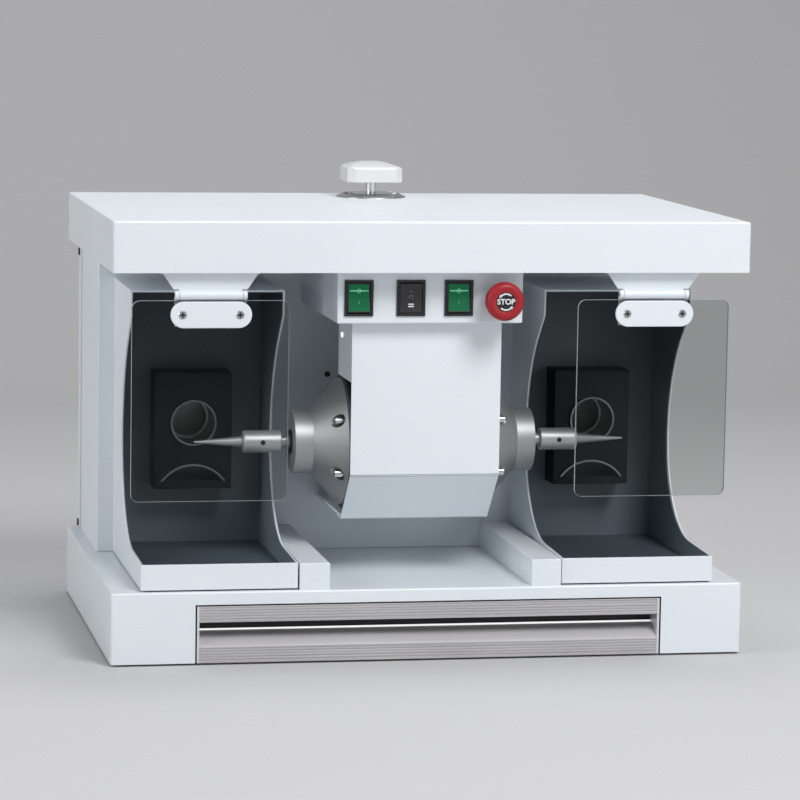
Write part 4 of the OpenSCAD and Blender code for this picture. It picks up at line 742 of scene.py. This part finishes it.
for side in ("left", "right"):
    dressNode(side + "_end_bell", "turnedAluminium", 0.4)
dressNode("motor_housing", "motorPaint", 0.3, others=[("rubber", isBlackRing)])
for node, finish in {"tie_bolts": "polishedSteel", "motor_bearings": "polishedSteel",
                     "motor_saddle": "blackenedSteel", "set_screws": "bezelPlastic"}.items():
    dressNode(node, finish, 0.2)
dressNode("spindle_shaft", "groundSteel", 0.2, others=[("bezelPlastic", isSlinger)])

taper = {"length": 50.0, "rootRadius": 5.6, "tipRadius": 1.0, "threadPitch": 1.3, "threadDepth": 0.35,
         "threadGap": 1.5}
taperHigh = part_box("spindle_tapers")[1]
collarEnd = taperHigh.x - taper["length"] * mm


def threadedCone(direction):
    root, tip, pitch = taper["rootRadius"] * mm, taper["tipRadius"] * mm, taper["threadPitch"] * mm
    start, end = collarEnd, taperHigh.x
    along = start + taper["threadGap"] * mm
    points = [(root, start - 0.3 * mm), (root, along)]
    while along < end - 2.2 * pitch:
        radius = root + (tip - root) * (along - start) / (end - start)
        points += [(radius - taper["threadDepth"] * mm, along + 0.35 * pitch), (radius, along + 0.75 * pitch),
                   (radius, along + pitch)]
        along += pitch
    points += [(tip, end - 0.6 * mm), (tip / 2, end), (0.0, end)]
    return spinProfile([(radius, direction * place) for radius, place in points], 0, (0, *spindleCentre[1:]), 40)


def taperPieces():
    bm = solidCopy("spindle_tapers")
    # the plain cones make way for the threaded ones
    cone = [face for face in bm.faces if min(abs(vert.co.x) for vert in face.verts) > collarEnd - 0.05 * mm
            and max(abs(vert.co.x) for vert in face.verts) > collarEnd + 1 * mm]
    bmesh.ops.delete(bm, geom=cone, context="FACES")
    holes = [edge for edge in bm.edges if edge.is_boundary]
    bmesh.ops.holes_fill(bm, edges=holes, sides=0)
    softenEdges(bm, 0.3 * mm, 2)
    for direction in (-1, 1):
        joinInto(bm, threadedCone(direction))
    return bm


addPiece("spindleTapers", taperPieces(), "groundSteel", "spindle", ["spindle_tapers"])
print("motor made")

drawer = {
    "bandHeight": 15.9,  # mm, of each of the two ribbed bands
    "bandMargin": 0.9,
    "ribPitch": 2.78,
    "ribDepth": 0.5,
    "recessDepth": 26.0,
    "lipDrop": 12.4,  # from the recess's upper edge down to the lip's foot
    "lipHeight": 1.8,
    "wallDepth": 28.0,  # the recess's rear wall
    "roomAbove": 8.0,  # the recess goes up behind the upper band
    "bandThickness": 4.0,
    "edge": 0.3,
}
bandHeight, recessDepth = drawer["bandHeight"] * mm, drawer["recessDepth"] * mm
slotHigh = drawerHigh.z - bandHeight
lipLow = slotHigh - drawer["lipDrop"] * mm
lipHigh = lipLow + drawer["lipHeight"] * mm
bandTop = drawerLow.z + bandHeight


def ribbedBand(low, high):
    points = []
    height = low + drawer["bandMargin"] * mm
    while height + drawer["ribPitch"] * mm < high - 0.3 * drawer["bandMargin"] * mm:
        for share, depth in ((0.0, 0.0), (0.45, 0.0), (0.6, 1.0), (0.85, 1.0)):
            points.append((drawerLow.y + depth * drawer["ribDepth"] * mm, height + share * drawer["ribPitch"] * mm))
        height += drawer["ribPitch"] * mm
    points.append((drawerLow.y, height))
    return points


def drawerFront():
    # the outline in (y, z), from the rear foot up over the front: band, cove, lip, slot, band
    front, back, low, high = drawerLow.y, drawerHigh.y, drawerLow.z, drawerHigh.z
    edge, coveLow = drawer["edge"] * mm, bandTop + 0.6 * mm
    points = [(back, low), (front + edge, low), (front, low + edge)] + ribbedBand(low, bandTop)
    points += [(front, bandTop - 0.2 * mm), (front + 0.15 * mm, bandTop + 0.2 * mm),
               (front + 0.5 * mm, bandTop + 0.5 * mm)]
    steps = 14
    for i in range(1, steps + 1):
        turn = math.pi / 2 * i / steps
        points.append((front + recessDepth * (0.5 * (1 - math.cos(turn)) + 0.5 * i / steps),
                       coveLow + (lipLow - coveLow) * math.sin(turn / 2) / math.sin(math.pi / 4)))
    lipY, lipR = front + recessDepth, drawer["lipHeight"] / 2 * mm
    for turn in map(math.radians, (230, 205, 180, 155, 130, 110, 90)):
        points.append((lipY + lipR * (0.4 + 0.5 * math.cos(turn)), lipLow + lipR + lipR * math.sin(turn)))
    wallY, roofZ = front + drawer["wallDepth"] * mm, slotHigh + drawer["roomAbove"] * mm
    inner = front + drawer["bandThickness"] * mm
    points += [(wallY, lipHigh), (wallY, roofZ), (inner, roofZ), (inner - 1 * mm, slotHigh + 0.2 * mm),
               (front + 0.15 * mm, slotHigh), (front, slotHigh + 0.15 * mm)]
    points += ribbedBand(slotHigh, high) + [(front, high - edge), (front + edge, high), (back, high)]
    bm = bmesh.new()
    outline = [bm.verts.new((drawerLow.x, y, z)) for y, z in points]
    face = bm.faces.new(outline)
    grown = bmesh.ops.extrude_face_region(bm, geom=[face])
    bmesh.ops.translate(bm, vec=(drawerHigh.x - drawerLow.x, 0, 0), verts=grownVerts(grown))
    bmesh.ops.recalc_face_normals(bm, faces=bm.faces)
    return bm


# the lip takes the glowing metal, a painted highlight
def isLip(middle, normal):
    return (lipLow + 0.1 * mm < middle.z < lipHigh - 0.02 * mm
            and abs(middle.y - drawerLow.y - recessDepth) < 1.2 * mm and abs(normal.x) < 0.5)


def isSlot(middle, normal):
    return (lipHigh - 0.1 * mm < middle.z < drawerHigh.z - 1 * mm and abs(normal.x) < 0.5
            and drawerLow.y + 2.5 * mm < middle.y < drawerHigh.y - 1 * mm)


# the cove takes the lighter matte copy of the aluminium, painted light
def isCove(middle, normal):
    return (bandTop - 0.3 * mm < middle.z < lipHigh and abs(normal.x) < 0.5
            and drawerLow.y + 0.05 * mm < middle.y < drawerHigh.y - 1 * mm)


addPiece("drawerFront", drawerFront(), "brushedAluminium", "drawer", ["drawer_front"], sharpAngle=25,
         others=[("glowingHighlightMetal", isLip), ("slotShade", isSlot), ("coveLitAluminium", isCove)])
dressNode("drawer_caps", "capMetal", 0.35)
dressNode("drawer_box", "zincSheet", 0.4)
for node in ("drawer_slides", "drawer_runners"):
    dressNode(node, "zincSheet", 0.2)
print("drawer made")

dressNode("shaker_knob", "knobPlastic", 0.9, 3, sharpAngle=25)
dressNode("shaker_rod", "polishedSteel", 0.2)
dressNode("knob_ring", "polishedSteel", 0.25)
print("knob made")

# inside, seen through the louvres and with the drawer open
for node, finish in {"filter_shelf": "zincSheet", "filter_cassette": "filterFleece", "fan_housing": "zincSheet",
                     "fan_motor": "blackenedSteel", "fan_impeller": "zincSheet", "stator": "motorIron",
                     "rotor": "motorIron", "stop_contacts": "bezelPlastic"}.items():
    cadNodes[node].material_slots[0].material = materials[finish]

studio = {
    "floorColour": (0.54, 0.54, 0.55, 1),
    "floorSide": 3.1,  # metres from the middle
    "floorFront": -2.5,
    "floorBack": 3.2,
    "wallHeight": 4.0,
    "wallBend": 1.4,
    "worldStrength": 0.19,
    "backgroundStrength": 0.42,  # what the camera, metal and glass see of the world
    # place, size, power, what it is aimed at
    "lamps": {
        "keyLamp": ((0.90, -2.34, 2.68), 1.3, 76.0, (0, -0.05, 0.22)),
        "lowLamp": ((1.9, -2.4, 0.8), 1.4, 10.0, (0, -0.1, 0.1)),
        "topLamp": ((0.3, 0.35, 3.2), 1.4, 38.0, (0, 0, 0.45)),
        "fillLamp": ((-3.2, -1.0, 1.5), 2.0, 45.0, (0, -0.05, 0.22)),
    },
}


def makeFloorPaint():
    # the back of the floor is clear, so that the lathe shows from behind and from below
    paint = bpy.data.materials.new("floorPaint")
    paint.use_nodes = True
    tree = paint.node_tree
    coat = tree.nodes["Principled BSDF"]
    coat.inputs["Base Color"].default_value = studio["floorColour"]
    coat.inputs["Roughness"].default_value = 0.9
    oneSided = addNode(tree, "ShaderNodeMixShader")
    tree.links.new(addNode(tree, "ShaderNodeNewGeometry").outputs["Backfacing"], oneSided.inputs[0])
    tree.links.new(coat.outputs[0], oneSided.inputs[1])
    tree.links.new(addNode(tree, "ShaderNodeBsdfTransparent").outputs[0], oneSided.inputs[2])
    tree.links.new(oneSided.outputs[0], tree.nodes["Material Output"].inputs["Surface"])
    return paint


def makeFloor():
    # a floor that bends up into a wall behind the lathe
    aside, front, back = studio["floorSide"], studio["floorFront"], studio["floorBack"]
    bm = bmesh.new()
    corners = [bm.verts.new(place) for place in ((-aside, front, 0), (aside, front, 0), (aside, back, 0),
                                                 (-aside, back, 0))]
    floor = bm.faces.new(corners)
    farEdge = next(edge for edge in floor.edges if all(vert.co.y > 0 for vert in edge.verts))
    wall = bmesh.ops.extrude_edge_only(bm, edges=[farEdge])
    bmesh.ops.translate(bm, vec=(0, 0, studio["wallHeight"]), verts=grownVerts(wall))
    bend = [edge for edge in bm.edges if len(edge.link_faces) == 2]
    bmesh.ops.bevel(bm, geom=bend, offset=studio["wallBend"], offset_type="OFFSET", affect="EDGES", segments=16,
                    profile=0.5, material=-1)
    bmesh.ops.recalc_face_normals(bm, faces=bm.faces)
    if sum(face.normal.z for face in bm.faces) < 0:
        bmesh.ops.reverse_faces(bm, faces=bm.faces)
    mesh = bpy.data.meshes.new("studioFloor")
    bm.to_mesh(mesh)
    bm.free()
    mesh.polygons.foreach_set("use_smooth", [True] * len(mesh.polygons))
    mesh.materials.append(makeFloorPaint())
    floorObject = bpy.data.objects.new("studioFloor", mesh)
    scene.collection.objects.link(floorObject)


def addLamp(name, place, size, power, aim):
    light = bpy.data.lights.new(name, "AREA")
    light.shape = "SQUARE"
    light.size = size
    light.energy = power
    lamp = bpy.data.objects.new(name, light)
    lamp.location = place
    lamp.rotation_euler = (Vector(place) - Vector(aim)).to_track_quat("Z", "Y").to_euler()
    scene.collection.objects.link(lamp)


def makeWorld():
    world = bpy.data.worlds.new("studioWorld")
    scene.world = world
    world.use_nodes = True
    tree = world.node_tree
    background = tree.nodes["Background"]
    background.inputs["Color"].default_value = (1, 1, 1, 1)
    rayKind = addNode(tree, "ShaderNodeLightPath")
    seen = rayKind.outputs["Is Camera Ray"]
    for kind in ("Is Glossy Ray", "Is Transmission Ray"):
        either = addNode(tree, "ShaderNodeMath", {"operation": "MAXIMUM"})
        tree.links.new(seen, either.inputs[0])
        tree.links.new(rayKind.outputs[kind], either.inputs[1])
        seen = either.outputs[0]
    tree.links.new(mapped(tree, seen, studio["worldStrength"], studio["backgroundStrength"], 0, 1),
                   background.inputs["Strength"])


makeFloor()
for lampName, lampValues in studio["lamps"].items():
    addLamp(lampName, *lampValues)
makeWorld()
scene.view_settings.view_transform = "Standard"
print("studio made")
